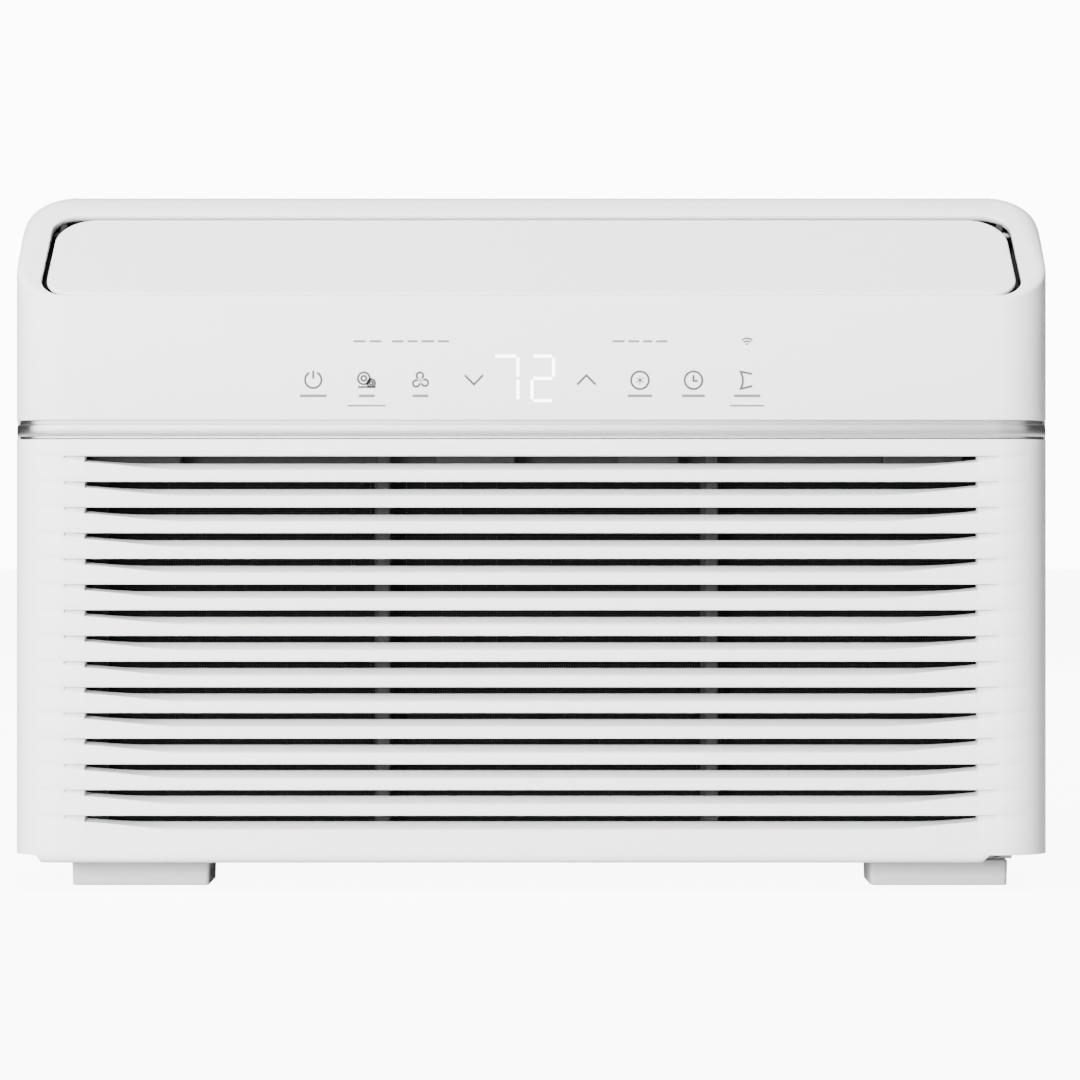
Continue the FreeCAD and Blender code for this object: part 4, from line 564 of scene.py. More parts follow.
def wear_effect() -> bpy.types.NodeTree:
    """Makes the rub along edges: it is 1 where the surface is most convex, broken up by noise."""
    nodes, given, wanted = effect("edge_wear", {"Place": "Vector"}, {"Wear": "Float"})
    geometry = nodes.add("NewGeometry")
    bend = nodes.maths("SUBTRACT", geometry.outputs["Pointiness"], EDGE_START)
    edge = nodes.maths("MULTIPLY", bend, EDGE_GAIN, clamp=True)
    rub = nodes.add("TexNoise")
    nodes.wire(given["Place"], rub.inputs["Vector"])
    rub.inputs["Scale"].default_value = 160.0
    nodes.wire(nodes.maths("MULTIPLY", edge, rub.outputs[0], clamp=True), wanted["Wear"])
    return nodes.tree


@dataclass
class Paintbox:
    """Makes each finish's material once and hands it out."""

    made: dict[str, bpy.types.Material] = field(default_factory=dict)
    effects: dict[str, bpy.types.NodeTree] = field(default_factory=dict)

    def group(self, nodes: Nodes, name: str) -> bpy.types.Node:
        """Adds one of the shared effects to a material.

        Args:
            nodes: The material's nodes.
            name: The effect's name.

        Returns:
            The group node.
        """
        makers = {"grain": grain_effect, "tone": tone_effect, "edge_wear": wear_effect}
        if name not in self.effects:
            self.effects[name] = makers[name]()
        made = nodes.tree.nodes.new("ShaderNodeGroup")
        made.node_tree = self.effects[name]
        return made

    def get(self, slot: str) -> bpy.types.Material:
        """Gives a slot's material.

        Args:
            slot: The slot's name.

        Returns:
            The material.
        """
        if slot not in self.made:
            self.made[slot] = self.mix(FINISHES[slot])
        return self.made[slot]

    def mix(self, finish: Finish) -> bpy.types.Material:
        """Makes a finish's material.

        Args:
            finish: The finish.

        Returns:
            The material.
        """
        material = bpy.data.materials.new(finish.slot)
        material.use_nodes = True
        nodes = Nodes(material.node_tree)
        shader = next(node for node in material.node_tree.nodes if node.type == "BSDF_PRINCIPLED")
        shader.inputs["Roughness"].default_value = finish.rough
        shader.inputs["Metallic"].default_value = finish.metal
        shader.inputs["Coat Weight"].default_value = finish.coat
        shader.inputs["Coat Roughness"].default_value = COAT_ROUGH
        place = nodes.add("TexCoord").outputs["Object"]
        tone = self.group(nodes, "tone")
        tone.inputs["Colour"].default_value = (*finish.colour, 1.0)
        tone.inputs["Amount"].default_value = finish.vary
        nodes.wire(place, tone.inputs["Place"])
        colour = tone.outputs[0]
        height = self.height(nodes, finish, place)
        if finish.recipe in (Recipe.SPANGLE, Recipe.DRAWN):
            colour = self.crystals(nodes, finish, place, colour)
        if finish.recipe in (Recipe.COATED, Recipe.MOULDED, Recipe.DRAWN):
            self.rub(nodes, finish, place, shader)
        if finish.recipe is Recipe.NET:
            nodes.wire(self.weave(nodes, finish, place), shader.inputs["Alpha"])
        if finish.recipe is Recipe.LAMP:
            nodes.wire(colour, shader.inputs["Emission Color"])
            shader.inputs["Emission Strength"].default_value = LAMP_STRENGTH
        nodes.wire(colour, shader.inputs["Base Color"])
        bump = nodes.add("Bump")
        bump.inputs["Strength"].default_value = BUMP_STRENGTH
        bump.inputs["Distance"].default_value = finish.bump * MM
        nodes.wire(height, bump.inputs["Height"])
        nodes.wire(bump.outputs[0], shader.inputs["Normal"])
        return material

    def height(self, nodes: Nodes, finish: Finish, place: object) -> object:
        """Adds the height of a finish's grain.

        Args:
            nodes: The material's nodes.
            finish: The finish.
            place: The coordinates' socket.

        Returns:
            The height's socket.
        """
        if finish.recipe is Recipe.FOAM:
            beads = nodes.add("TexVoronoi", feature="SMOOTH_F1")
            beads.inputs["Scale"].default_value = 1 / (finish.grain * MM)
            nodes.wire(place, beads.inputs["Vector"])
            return beads.outputs["Distance"]
        grain = self.group(nodes, "grain")
        stretched = nodes.scaled(place, (1.0, 1.0, 0.12)) if finish.recipe is Recipe.DRAWN else place
        nodes.wire(stretched, grain.inputs["Place"])
        grain.inputs["Per Metre"].default_value = 1 / (finish.grain * MM)
        return grain.outputs[0]

    def crystals(self, nodes: Nodes, finish: Finish, place: object, colour: object) -> object:
        """Adds the patches of a zinc coat or of drawn metal to a colour.

        Args:
            nodes: The material's nodes.
            finish: The finish.
            place: The coordinates' socket.
            colour: The colour's socket.

        Returns:
            The new colour's socket.
        """
        cells = nodes.add("TexVoronoi")
        cells.inputs["Scale"].default_value = 1 / (finish.grain * MM)
        nodes.wire(place, cells.inputs["Vector"])
        shade = nodes.add("SeparateColor")
        nodes.wire(cells.outputs["Color"], shade.inputs[0])
        swing = nodes.maths("MULTIPLY", nodes.maths("SUBTRACT", shade.outputs[0], 0.5), finish.vary)
        mix = nodes.add("VectorMath", operation="SCALE")
        nodes.wire(colour, mix.inputs[0])
        nodes.wire(nodes.maths("ADD", swing, 1.0), mix.inputs["Scale"])
        return mix.outputs[0]

    def rub(self, nodes: Nodes, finish: Finish, place: object, shader: bpy.types.Node) -> None:
        """Makes a finish smoother where its edges are rubbed.

        Args:
            nodes: The material's nodes.
            finish: The finish.
            place: The coordinates' socket.
            shader: The material's shader.
        """
        wear = self.group(nodes, "edge_wear")
        nodes.wire(place, wear.inputs["Place"])
        less = nodes.maths("MULTIPLY", wear.outputs[0], -EDGE_GLOSS * finish.rough)
        nodes.wire(nodes.maths("ADD", less, finish.rough, clamp=True), shader.inputs["Roughness"])

    def weave(self, nodes: Nodes, finish: Finish, place: object) -> object:
        """Adds the holes of a net: it is open only where |sin x| and |sin z| are both near 1.

        Args:
            nodes: The material's nodes.
            finish: The finish.
            place: The coordinates' socket.

        Returns:
            The alpha's socket.
        """
        parts = nodes.add("SeparateXYZ")
        nodes.wire(place, parts.inputs[0])
        per = math.pi / (finish.grain * MM)
        threads = []
        for axis in (0, 2):
            wave = nodes.maths("ABSOLUTE",
                               nodes.maths("SINE", nodes.maths("MULTIPLY", parts.outputs[axis], per)))
            threads.append(nodes.maths("LESS_THAN", wave, NET_OPEN))
        return nodes.maths("MAXIMUM", threads[0], threads[1], clamp=True)


def dress(thing: bpy.types.Object, slot: str, body: str, paints: Paintbox, *nodes: str) -> bpy.types.Object:
    """Gives a new piece its material, its body and the nodes that it stands for.

    Args:
        thing: The piece.
        slot: Its material slot, or one of the print finishes.
        body: The body that it rides on.
        paints: The finishes.
        nodes: The nodes that it replaces.

    Returns:
        The piece.
    """
    thing.data.materials.clear()
    thing.data.materials.append(paints.get(slot))
    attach(thing, body)
    if nodes:
        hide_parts(*nodes)
    return thing


# ---------------------------------------------------------------- the front

@dataclass
class Bezel:
    """The front moulding: the panel above the grille, the slope with the outlet's mouth, and the cheeks.

    Attributes:
        face: The front's shape.
        low: Z of the panel's bottom edge, in mm.
        cheek_low: Z of the cheeks' bottom edge, in mm.
        cheek_deep: Depth where the cheeks begin below the panel, in mm.
        back: Depth of the moulding's rear edge, in mm.
        slot: Depth and Z limits of the filter's slot in the right cheek, in mm.
        mouth: Run limits of the outlet's mouth up the slope, in mm.
        mouth_half: Half the mouth's width at its lower and upper edges, in mm.
        mouth_round: Radius of the mouth's lower and upper corners, in mm.
        lip: Radius of the moulding's small edges, in mm.
        rim: How far the rims turn in, in mm.
        skin: The wall's thickness, in mm.
    """

    face: Face
    back: float
    cheek_low: float
    low: float = 253.2
    cheek_deep: float = 29.4
    slot: tuple[float, float, float, float] = (32.6, 39.4, 23.6, 238.4)
    mouth: tuple[float, float] = (1.0, 80.0)
    mouth_half: tuple[float, float] = (266.8, 263.2)
    mouth_round: tuple[float, float] = (17.0, 15.5)
    lip: float = 0.6
    rim: float = 2.6
    skin: float = 0.2

    def side_deeps(self) -> np.ndarray:
        """Gives the depths of the columns along one side, from the front corner backward."""
        first = np.array([28.0, self.cheek_deep, self.slot[0], self.slot[1]])
        return np.concatenate([first, np.linspace(43.0, self.back, 17)])

    def edge(self, deep: np.ndarray) -> np.ndarray:
        """Gives how wide the side edge's round is at a depth, from a crease in front to a soft top corner."""
        return np.interp(deep, (0, 6, 28, 50, 63, 84, 100), (1.4, 2.4, 6.0, 10.0, 14.0, 27.0, 28.0))

    def outline(self) -> tuple[np.ndarray, np.ndarray, np.ndarray]:
        """Gives the plan of the moulding from its rear left round the front to its rear right.

        Returns:
            Points (x, depth), outward normals and the widths of the edge's round.
        """
        radius, half = self.face.corner, self.face.half
        deeps = self.side_deeps()
        turn = np.linspace(0, math.pi / 2, 15)[1:-1]
        left = np.column_stack([np.full(len(deeps), -half), deeps[::-1]])
        left_arc = np.column_stack([-(half - radius) - radius * np.cos(turn), radius - radius * np.sin(turn)])
        front = np.column_stack([np.linspace(-(half - radius), half - radius, 61), np.zeros(61)])
        points = np.concatenate([left, left_arc, front, left_arc[::-1] * (-1, 1), left[::-1] * (-1, 1)])
        return points, self.face.outward(points), self.edge(points[:, 1])

    def mouth_loop(self, counts: tuple[int, int, int], rear: int) -> np.ndarray:
        """Gives the edge of the mouth, point for point beside the outline and then along its upper side.

        Args:
            counts: How many points the left side, a lower corner and the lower side have.
            rear: How many points the upper side has.

        Returns:
            Points (x, run), counter-clockwise from the upper left corner.
        """
        side, corner, front = counts
        (start, end), (low, high) = self.mouth, self.mouth_round
        half = self.mouth_half[0]
        few = side // 3
        upper = arc((-half + high, end - high), high, 110, 180, few)
        left = np.concatenate([upper[:-1], line((-half, end - high), (-half, start + low), side - few + 1)])
        lower = arc((-half + low, start + low), low, 180, 270, corner + 2)[1:-1]
        bottom = line((-half + low, start), (half - low, start), front)
        right = np.concatenate([lower[::-1], left[::-1]]) * (-1, 1)
        turn = arc((half - high, end - high), high, 70, 90, 8)[1:]
        top = line((half - high, end), (-half + high, end), rear - 12)[1:-1]
        loop = np.concatenate([left, lower, bottom, right, turn, top, turn[::-1] * (-1, 1)])
        width = np.interp(loop[:, 1], self.mouth, self.mouth_half)
        return loop * np.column_stack([width / half, np.ones(len(loop))])

    def build(self, paints: Paintbox) -> None:
        """Makes the moulding.

        The wall stands on the outline. Above it a conic blends the wall into the roof z = roof(depth), with
        the corner where the two meet as its middle control. From there a ring of rows runs inward over the
        roof, point = mix(outline, mouth's edge), so that the mouth's edge is a clean line.
        """
        face = self.face
        plan, normal, width = self.outline()
        columns = len(self.side_deeps())
        inner = plan - normal * width[:, None]
        top = face.roof(plan[:, 1])
        wall_top = top - width * 0.75
        turn = np.radians(np.linspace(0, 90, 4))
        inset = np.concatenate([[self.rim, self.rim], self.lip * (1 - np.sin(turn)), [0, 0]])
        rise = np.concatenate([[4.0, 0.0], self.lip * (1 - np.cos(turn))])[:, None] + 0 * wall_top
        rise = np.concatenate([rise, (wall_top - self.low) * np.array([[0.5], [1.0]])])
        around = plan - normal * inset[:, None, None]
        wall = face.at(around[..., 0], around[..., 1], self.low + rise)
        start = face.at(plan[:, 0], plan[:, 1], wall_top)
        middle = face.at(plan[:, 0], plan[:, 1], top)
        finish = face.at(inner[:, 0], inner[:, 1], face.roof(inner[:, 1]))
        mix = np.linspace(0, 1, 9)[1:, None, None]
        first, second, third = (1 - mix) ** 2, 2 * mix * (1 - mix) * math.sqrt(0.5), mix**2
        blend = (first * start + second * middle + third * finish) / (first + second + third)
        shell = Shell()
        shell.grid(np.concatenate([wall, blend]))
        rear = 61
        back = line(inner[-1], inner[0], rear + 2)[1:-1]
        ring = np.concatenate([inner, back])
        loop = self.mouth_loop((columns, 13, 61), rear)
        loop = loop[:len(ring)] * (1.0, math.cos(face.angle))
        steps = np.linspace(0, 1, 17)[:, None, None]
        sheet = ring * (1 - steps) + loop * steps
        ledge = face.at(sheet[..., 0], sheet[..., 1], face.roof(sheet[..., 1]))
        lean = np.array([0.0, math.sin(face.angle), -math.cos(face.angle)]) * MM
        inward = np.roll(ledge[-1], -1, axis=0) - np.roll(ledge[-1], 1, axis=0)
        inward = np.cross(lean, inward)
        inward /= -np.linalg.norm(inward, axis=1, keepdims=True)
        edge = [ledge[-1] + inward * self.lip * MM * math.sin(a) + lean * self.lip * (1 - math.cos(a))
                for a in np.radians((30, 60, 90))]
        edge.append(edge[-1] + lean * 3.0)
        shell.grid(np.concatenate([ledge, np.array(edge)]), closed=True)
        deeps = self.side_deeps()[1:]
        heights = np.concatenate([[self.cheek_low], [self.slot[2]], np.linspace(60, 200, 5), [self.slot[3]],
                                  [self.low]])
        for side in (-1, 1):
            points = face.at(side * face.half, deeps[None, :], heights[:, None])
            keep = np.ones((len(heights) - 1, len(deeps) - 1), bool)
            if side > 0:
                keep[1:-1, 1] = False
            shell.grid(points, keep=keep, flip=side < 0)
        self.returns(shell, wall[2:], blend)
        thing = shell.build("front_bezel_skin", sharp=28, outward=False)
        thicken(thing, self.skin)
        dress(thing, "white_plastic", "chassis", paints, "front_bezel")

    def returns(self, shell: Shell, wall: np.ndarray, blend: np.ndarray) -> None:
        """Adds the turned-in rear rim and the cheeks' turned-in front edges, each a strip square to the wall.

        Args:
            shell: The moulding's shell.
            wall: The wall's points, from its foot up.
            blend: The points of the round above it.
        """
        face = self.face
        cheek = line((self.cheek_low,), (self.low,), 6)[:, 0]
        left = np.concatenate([face.at(-face.half, self.back, cheek), wall[:, 0], blend[:, 0]])
        right = left * (-1, 1, 1)
        edge = np.concatenate([left, right[::-1]])
        along = np.gradient(edge, axis=0)
        inward = np.cross((0.0, 1.0, 0.0), along)
        inward /= np.maximum(np.linalg.norm(inward, axis=1, keepdims=True), 1e-9)
        shell.grid(np.array([edge + inward * self.rim * 2 * MM, edge]), flip=True)
        for side in (-1, 1):
            x = side * np.array([face.half, face.half - self.rim])
            for deep, reach in ((self.cheek_deep, -1), (self.back, 1)):
                points = face.at(x[None, :], deep, cheek[:, None])
                shell.grid(points, flip=(side * reach) > 0)
            deeps = np.array([self.cheek_deep, self.back])
            shell.grid(face.at(x[None, :], deeps[:, None], self.cheek_low), flip=side < 0)


@dataclass
class Flap:
    """The outlet's flap, a slab with rounded corners that lies in the mouth.

    Attributes:
        face: The front's shape.
        run: Run limits up the slope, in mm.
        half: Half its width at its lower and upper edges, in mm.
        corner: Radius of its lower and upper corners, in mm.
        thick: Its thickness, in mm.
        pivot: Run and rise of its hinge, in mm.
    """

    face: Face
    run: tuple[float, float] = (3.4, 75.6)
    half: tuple[float, float] = (263.0, 259.8)
    corner: tuple[float, float] = (15.0, 21.5)
    thick: float = 3.0
    pivot: tuple[float, float] = (71.0, -8.0)

    def loop(self, inset: float) -> np.ndarray:
        """Gives the slab's outline moved in.

        Args:
            inset: How far it is moved in, in mm.

        Returns:
            Points (x, run).
        """
        low, high = self.run[0] + inset, self.run[1] - inset
        half = self.half[0] - inset
        small, large = self.corner[0] - inset / 2, self.corner[1] - inset / 2
        corners = [((half - small, low + small), small, -90), ((half - large, high - large), large, 0),
                   ((-half + large, high - large), large, 90), ((-half + small, low + small), small, 180)]
        loop = np.concatenate([arc(centre, radius, turn, turn + 90, 14) for centre, radius, turn in corners])
        width = np.interp(loop[:, 1], self.run, (1.0, self.half[1] / self.half[0]))
        return loop * np.column_stack([width, np.ones(len(loop))])

    def build(self, paints: Paintbox) -> None:
        """Makes the slab and its hubs.

        The slab's rings follow its outline, moved in by e (1 - sin a) as they rise by e (1 - cos a).
        """
        shell = Shell()
        edge = 1.0
        turn = np.radians(np.linspace(0, 90, 6))
        steps = [(edge * (1 - math.sin(a)), -self.thick + edge * (1 - math.cos(a))) for a in turn]
        steps += [(inset, -edge * (1 - math.cos(a))) for a, (inset, _) in zip(turn[::-1], steps[::-1])]
        steps = [(3.0, -self.thick)] + steps + [(3.0, 0.0)]
        rings = [self.face.on_slope(self.loop(inset)[:, 0], self.loop(inset)[:, 1], rise) for inset,
                 rise in steps]
        shell.tube(np.array(rings))
        centre = self.face.on_slope(np.array(0.0), np.array(self.pivot[0]), np.array(self.pivot[1])) / MM
        low, high = span("outlet_flap")
        hubs = Shell()
        for side in (-1, 1):
            x = side * (self.half[1] - 4.4)
            rod(hubs, (x, centre[1], centre[2]), (x + side * 4, centre[1], centre[2]), 5.0)
            web = np.array([(self.pivot[0] - 7, -self.thick + 0.3), (self.pivot[0] + 3.5, -self.thick + 0.3),
                            (self.pivot[0] + 4.0, self.pivot[1]), (self.pivot[0] - 4.0, self.pivot[1])])
            rings = [self.face.on_slope(np.full(4, x + side * step), web[:, 0], web[:, 1]) for step in (0.4,
                                                                                                        3.6)]
            hubs.tube(np.array(rings))
            end = high[0] if side > 0 else low[0]
            if abs(end) > abs(x) + 5:
                rod(hubs, (x, centre[1], centre[2]), (end, centre[1], centre[2]), 2.5)
        thing = shell.build("outlet_flap_skin", sharp=40)
        dress(thing, "white_plastic", "flap", paints, "outlet_flap")
        # painted shade: the hubs are near-black so that the gaps beside the flap read as dark shade
        dress(hubs.build("flap_hubs"), "painted_shade_black", "flap", paints)


@dataclass
class Grille:
    """The slatted intake grille.

    Attributes:
        face: The front's shape.
        low: Z of its lowest edge, in mm.
        side_low: Z of its lower edge beyond the lip, in mm.
        top: Z of its top edge, in mm.
        lip: X limits of the lip under it, in mm.
        back: Depth of its side walls' rear edge, in mm.
        plate: Depth of the slats' rear, in mm.
        first: Z of the first gap's upper edge, in mm.
        pitch: Distance from gap to gap, in mm.
        gaps: How many gaps.
        open: The gaps' height, in mm.
        roll: Height of the slat's receding top below the gap, in mm.
        half: Half the gaps' width, in mm.
        ghost: Half the width where the recess has died out, in mm.
    """

    face: Face
    low: float
    side_low: float
    top: float
    lip: tuple[float, float]
    back: float = 28.8
    plate: float = 16.0
    first: float = 233.8
    pitch: float = 13.85
    gaps: int = 15
    open: float = 3.9
    roll: float = 3.9
    half: float = 241.0
    ghost: float = 268.0

    def stations(self) -> tuple[np.ndarray, np.ndarray]:
        """Gives the columns across the grille, closer together towards the gaps' ends and round the corners.

        Returns:
            X and the depth of the front there, in mm.
        """
        straight = self.face.half - self.face.corner
        middle = np.concatenate([np.linspace(0, 190, 20), np.linspace(196, self.half - 4, 16),
                                 [self.half - 2, self.half - 0.04, self.half + 0.04, self.half + 2.5,
                                  self.half + 6, 249.5,
                                  straight]])
        turn = np.linspace(0, math.pi / 2, 14)[1:]
        x = np.concatenate([middle, straight + self.face.corner * np.sin(turn)])
        deep = np.concatenate([np.zeros(len(middle)), self.face.corner * (1 - np.cos(turn))])
        x = np.concatenate([-x[:0:-1], x])
        deep = np.concatenate([deep[:0:-1], deep])
        return x, deep

    def section(self, x: np.ndarray) -> tuple[np.ndarray, ...]:
        """Gives the gap's shape at each column.

        Args:
            x: The columns, in mm.

        Returns:
            The gap's height, the height of the whole recess and the recess's depth, in mm.
        """
        far = np.abs(x)
        near = np.clip((self.half - far) / 38.0, 0, 1)
        height = self.open * np.where(far < self.half, 0.45 + 0.55 * (1 - (1 - near) ** 2.2), 0.0)
        left = np.clip((self.ghost - far) / (self.ghost - self.half), 0, 1)
        depth = np.where(far < self.half, self.plate, 5.5 * left**1.5)
        shape = (self.open + self.roll) * (0.42 + 0.58 * fade((self.half + 6 - far) / 62.0)) * np.where(
            far < self.half, 1.0, left**0.8)
        return height, shape, depth

    def build(self, paints: Paintbox) -> None:
        """Makes the grille: a front sheet, a rear sheet and the walls between them.

        Down each pitch the front sheet runs over the upper slat's edge, back along its straight under side,
        and then forward again over the lower slat's top, whose depth is D (0.62 u + 0.38 (1 - sqrt(1 - u^2)))
        for u from 0 at the slat's face to 1 at the gap. Towards the ends the gap's height and then the
        recess's depth die out, so the gaps taper and fade into the plain ends.
        """
        x, base = self.stations()
        height, shape, depth = self.section(x)
        live = depth > 0.02
        bottom = np.where((x > self.lip[0]) & (x < self.lip[1]), self.low, self.side_low)
        rows = [(base + 3.0, np.full_like(x, self.top)), (base + 0.7, np.full_like(x, self.top))]
        for turn in np.radians((30, 60, 90)):
            rows.append((base + 0.7 * (1 - math.sin(turn)),
                         np.full_like(x, self.top - 0.7 * (1 - math.cos(turn)))))
        floors = []
        for index in range(self.gaps):
            z = self.first - self.pitch * index
            rows.append((base, np.full_like(x, z + 2.2)))
            rows.append((base, z + 0.5 * live))
            rows.append((base + 0.15 * live, z + 0.15 * live))
            rows.append((base + np.minimum(0.5, depth), np.full_like(x, z)))
            rows.append((base + np.minimum(4.0, depth), np.full_like(x, z)))
            rows.append((base + depth, np.full_like(x, z)))
            floors.append(len(rows) - 1)
            for u in (1.0, 0.985, 0.94, 0.85, 0.7, 0.52, 0.34, 0.17, 0.06, 0.0):
                recede = depth * (0.62 * u + 0.38 * (1 - math.sqrt(1 - u * u)))
                rows.append((base + recede, z - shape + (shape - height) * u))
        rows.append((base, bottom + 6.0))
        for turn in np.radians((0, 20, 40, 60, 75, 90)):
            lift = np.where(bottom < self.side_low, 4.6, 0.8)
            reach = np.where(bottom < self.side_low, 6.0, 0.8)
            rows.append((base + reach * (1 - math.cos(turn)), bottom + lift * (1 - math.sin(turn))))
        rows.append((base + np.where(bottom < self.side_low, 8.0, 3.0), bottom))
        points = np.array([self.face.at(x, deep, z) for deep, z in rows])
        keep = np.ones((len(rows) - 1, len(x) - 1), bool)
        through = (np.abs(x[:-1] + x[1:]) / 2) < self.half
        keep[floors, :] = ~through
        shell = Shell()
        shell.grid(points, keep=keep, flip=True)
        inner = np.abs(x) < self.half + 0.5
        span_x = x[inner]
        tall = height[inner]
        strips = [np.full_like(span_x, self.first + 6.0)]
        for index in range(self.gaps):
            z = self.first - self.pitch * index
            strips += [np.full_like(span_x, z), z - tall]
        strips.append(np.full_like(span_x, self.first - self.pitch * self.gaps))
        rear = np.array([self.face.at(span_x, self.plate, z) for z in strips])
        keep = np.ones((len(strips) - 1, len(span_x) - 1), bool)
        keep[1::2, :] = False
        shell.grid(rear, keep=keep)
        self.walls(shell)
        thing = shell.build("intake_grille_skin", sharp=50, outward=False)
        dress(thing, "white_plastic", "grille", paints, "intake_grille")
        inner = Shell()
        for x in (-80.0, 97.8):
            self.bar(inner, x - 3.4, x + 3.4, 16.2, 24.0, 26.0, 240.0)
        for low, high in ((-240.0, -190.0), (-52.0, -8.7), (46.7, 80.1), (190.6, 233.7)):
            self.bar(inner, low, high, 16.4, 28.0, 229.4, 236.5)
        # painted shade: the ribs behind the slats are near-black so the gaps read as dark shade
        dress(inner.build("grille_ribs"), "painted_shade_black", "grille", paints)

    def walls(self, shell: Shell) -> None:
        """Adds the side walls' rear and the hooks at the foot.

        Args:
            shell: The grille's shell.
        """
        half, corner = self.face.half, self.face.corner
        for side in (-1, 1):
            turn = np.linspace(0, math.pi / 2, 12)
            outer = np.column_stack([half - corner + corner * np.sin(turn), corner * (1 - np.cos(turn))])
            outer = np.concatenate([outer, [(half, self.back)]])
            inset = np.column_stack([half - corner + (corner - 3) * np.sin(turn),
                                     3 + (corner - 3) * (1 - np.cos(turn))])
            inset = np.concatenate([inset, [(half - 3, self.back)]])
            loop = np.concatenate([outer, inset[::-1]])
            levels = (self.side_low + 0.4, self.top - 0.4)
            rings = [self.face.at(side * loop[:, 0], loop[:, 1] + 0.05, z) for z in levels]
            shell.tube(np.array(rings)[:, ::side])
        for x in (-190.0, 190.0):
            self.bar(shell, x - 10, x + 10, 8.0, 34.6, 17.8, 20.6)

    def bar(self, shell: Shell, left: float, right: float, near: float, far: float, low: float,
            high: float) -> None:
        """Adds a block with small corner rounds behind the slats.

        Args:
            shell: The grille's shell.
            left: Its lower X, in mm.
            right: Its upper X, in mm.
            near: Its lesser depth, in mm.
            far: Its greater depth, in mm.
            low: Its lower Z, in mm.
            high: Its upper Z, in mm.
        """
        front = self.face.front
        soft_block(shell, (left, front + near, low), (right, front + far, high), 1.0, 0.5)


@dataclass
class Trim:
    """The bright strip between the panel and the grille, set in a groove.

    Attributes:
        face: The front's shape.
        low: Z of its lower edge, in mm.
        high: Z of its upper edge, in mm.
        back: Depth of its ends, in mm.
    """

    face: Face
    low: float
    high: float
    back: float = 28.9

    def build(self, paints: Paintbox) -> None:
        """Makes the strip: a crowned section carried round the front's plan."""
        half, corner = self.face.half, self.face.corner
        turn = np.linspace(0, math.pi / 2, 22)
        arc_x, arc_deep = half - corner * (1 - np.sin(turn)), corner * (1 - np.cos(turn))
        right = np.column_stack([arc_x, arc_deep])
        ends = np.array([(half, self.back)])
        plan = np.concatenate([(ends * (-1, 1)), right[::-1] * (-1, 1), right, ends])
        normal = self.face.outward(plan)
        bright_low, bright_high = self.low + 1.1, self.high - 2.1
        middle = (bright_low + bright_high) / 2
        crown = [(out, bright_low + (bright_high - bright_low) * part)
                 for part, out in zip((0.0, 0.03, 0.08, 0.2, 0.35, 0.5, 0.65, 0.8, 0.92, 0.97, 1.0),
                                      (-0.75, -0.42, -0.28, -0.17, -0.12, -0.1, -0.12, -0.17, -0.28, -0.42,
                                       -0.75))]
        section = [(-3.0, self.low), (-1.7, self.low), (-1.7, bright_low)] + crown
        section += [(-1.7, bright_high), (-1.7, self.high), (-3.0, self.high), (-3.0, middle)]
        shell = Shell()
        rings = []
        for out, z in section:
            moved = plan + normal * out
            rings.append(self.face.at(moved[:, 0], moved[:, 1], np.full(len(moved), z)))
        rings = np.array(rings)
        shell.tube(rings.transpose(1, 0, 2))
        thing = shell.build("trim_strip_skin", sharp=40)
        dress(thing, "chrome_trim", "chassis", paints, "trim_strip")


# ---------------------------------------------------------------- printed marks

@dataclass
class Pen:
    """Draws flat strokes on the panel.

    Attributes:
        face: The front's shape.
        lift: How far the print stands off the panel, in mm.
        shell: What the strokes are added to.
    """

    face: Face
    lift: float = 0.06
    shell: Shell = field(default_factory=Shell)

    def stroke(self, points: np.ndarray, width: float, closed: bool = False) -> None:
        """Adds a line of even width along points, each side moved by half the width along the mitre.

        Args:
            points: Points (x, z), in mm.
            width: The line's width, in mm.
            closed: Whether it joins up.
        """
        points = np.array(points, float)
        before = np.roll(points, 1,
                         axis=0) if closed else np.concatenate([[2 * points[0] - points[1]], points[:-1]])
        after = np.roll(points, -1,
                        axis=0) if closed else np.concatenate([points[1:], [2 * points[-1] - points[-2]]])
        first = points - before
        second = after - points
        first /= np.linalg.norm(first, axis=1, keepdims=True)
        second /= np.linalg.norm(second, axis=1, keepdims=True)
        along = first + second
        along /= np.maximum(np.linalg.norm(along, axis=1, keepdims=True), 1e-6)
        mitre = np.column_stack([-along[:, 1], along[:, 0]])
        stretch = np.maximum(np.abs((mitre * np.column_stack([-first[:, 1], first[:, 0]])).sum(axis=1)), 0.45)
        offset = mitre * (width / 2 / stretch)[:, None]
        sides = [self.face.at(side[:, 0], -self.lift, side[:, 1]) for side in (points - offset,
                                                                               points + offset)]
        self.shell.grid(np.array(sides), closed=closed)

    def ring(self, centre: tuple[float, float], radius: float, width: float, start: float = 0.0,
             end: float = 360.0) -> None:
        """Adds a circle or part of one.

        Args:
            centre: Its centre (x, z), in mm.
            radius: Its radius, in mm.
            width: The line's width, in mm.
            start: Its first angle, in degrees.
            end: Its last angle, in degrees.
        """
        whole = end - start >= 360
        points = arc(centre, radius, start, end, 40)
        self.stroke(points[:-1] if whole else points, width, closed=whole)

    def build(self, name: str, slot: str, paints: Paintbox) -> None:
        """Makes the piece.

        Args:
            name: Its name.
            slot: Its finish.
            paints: The finishes.
        """
        dress(self.shell.build(name, outward=False, weld=1e-8), slot, "chassis", paints)


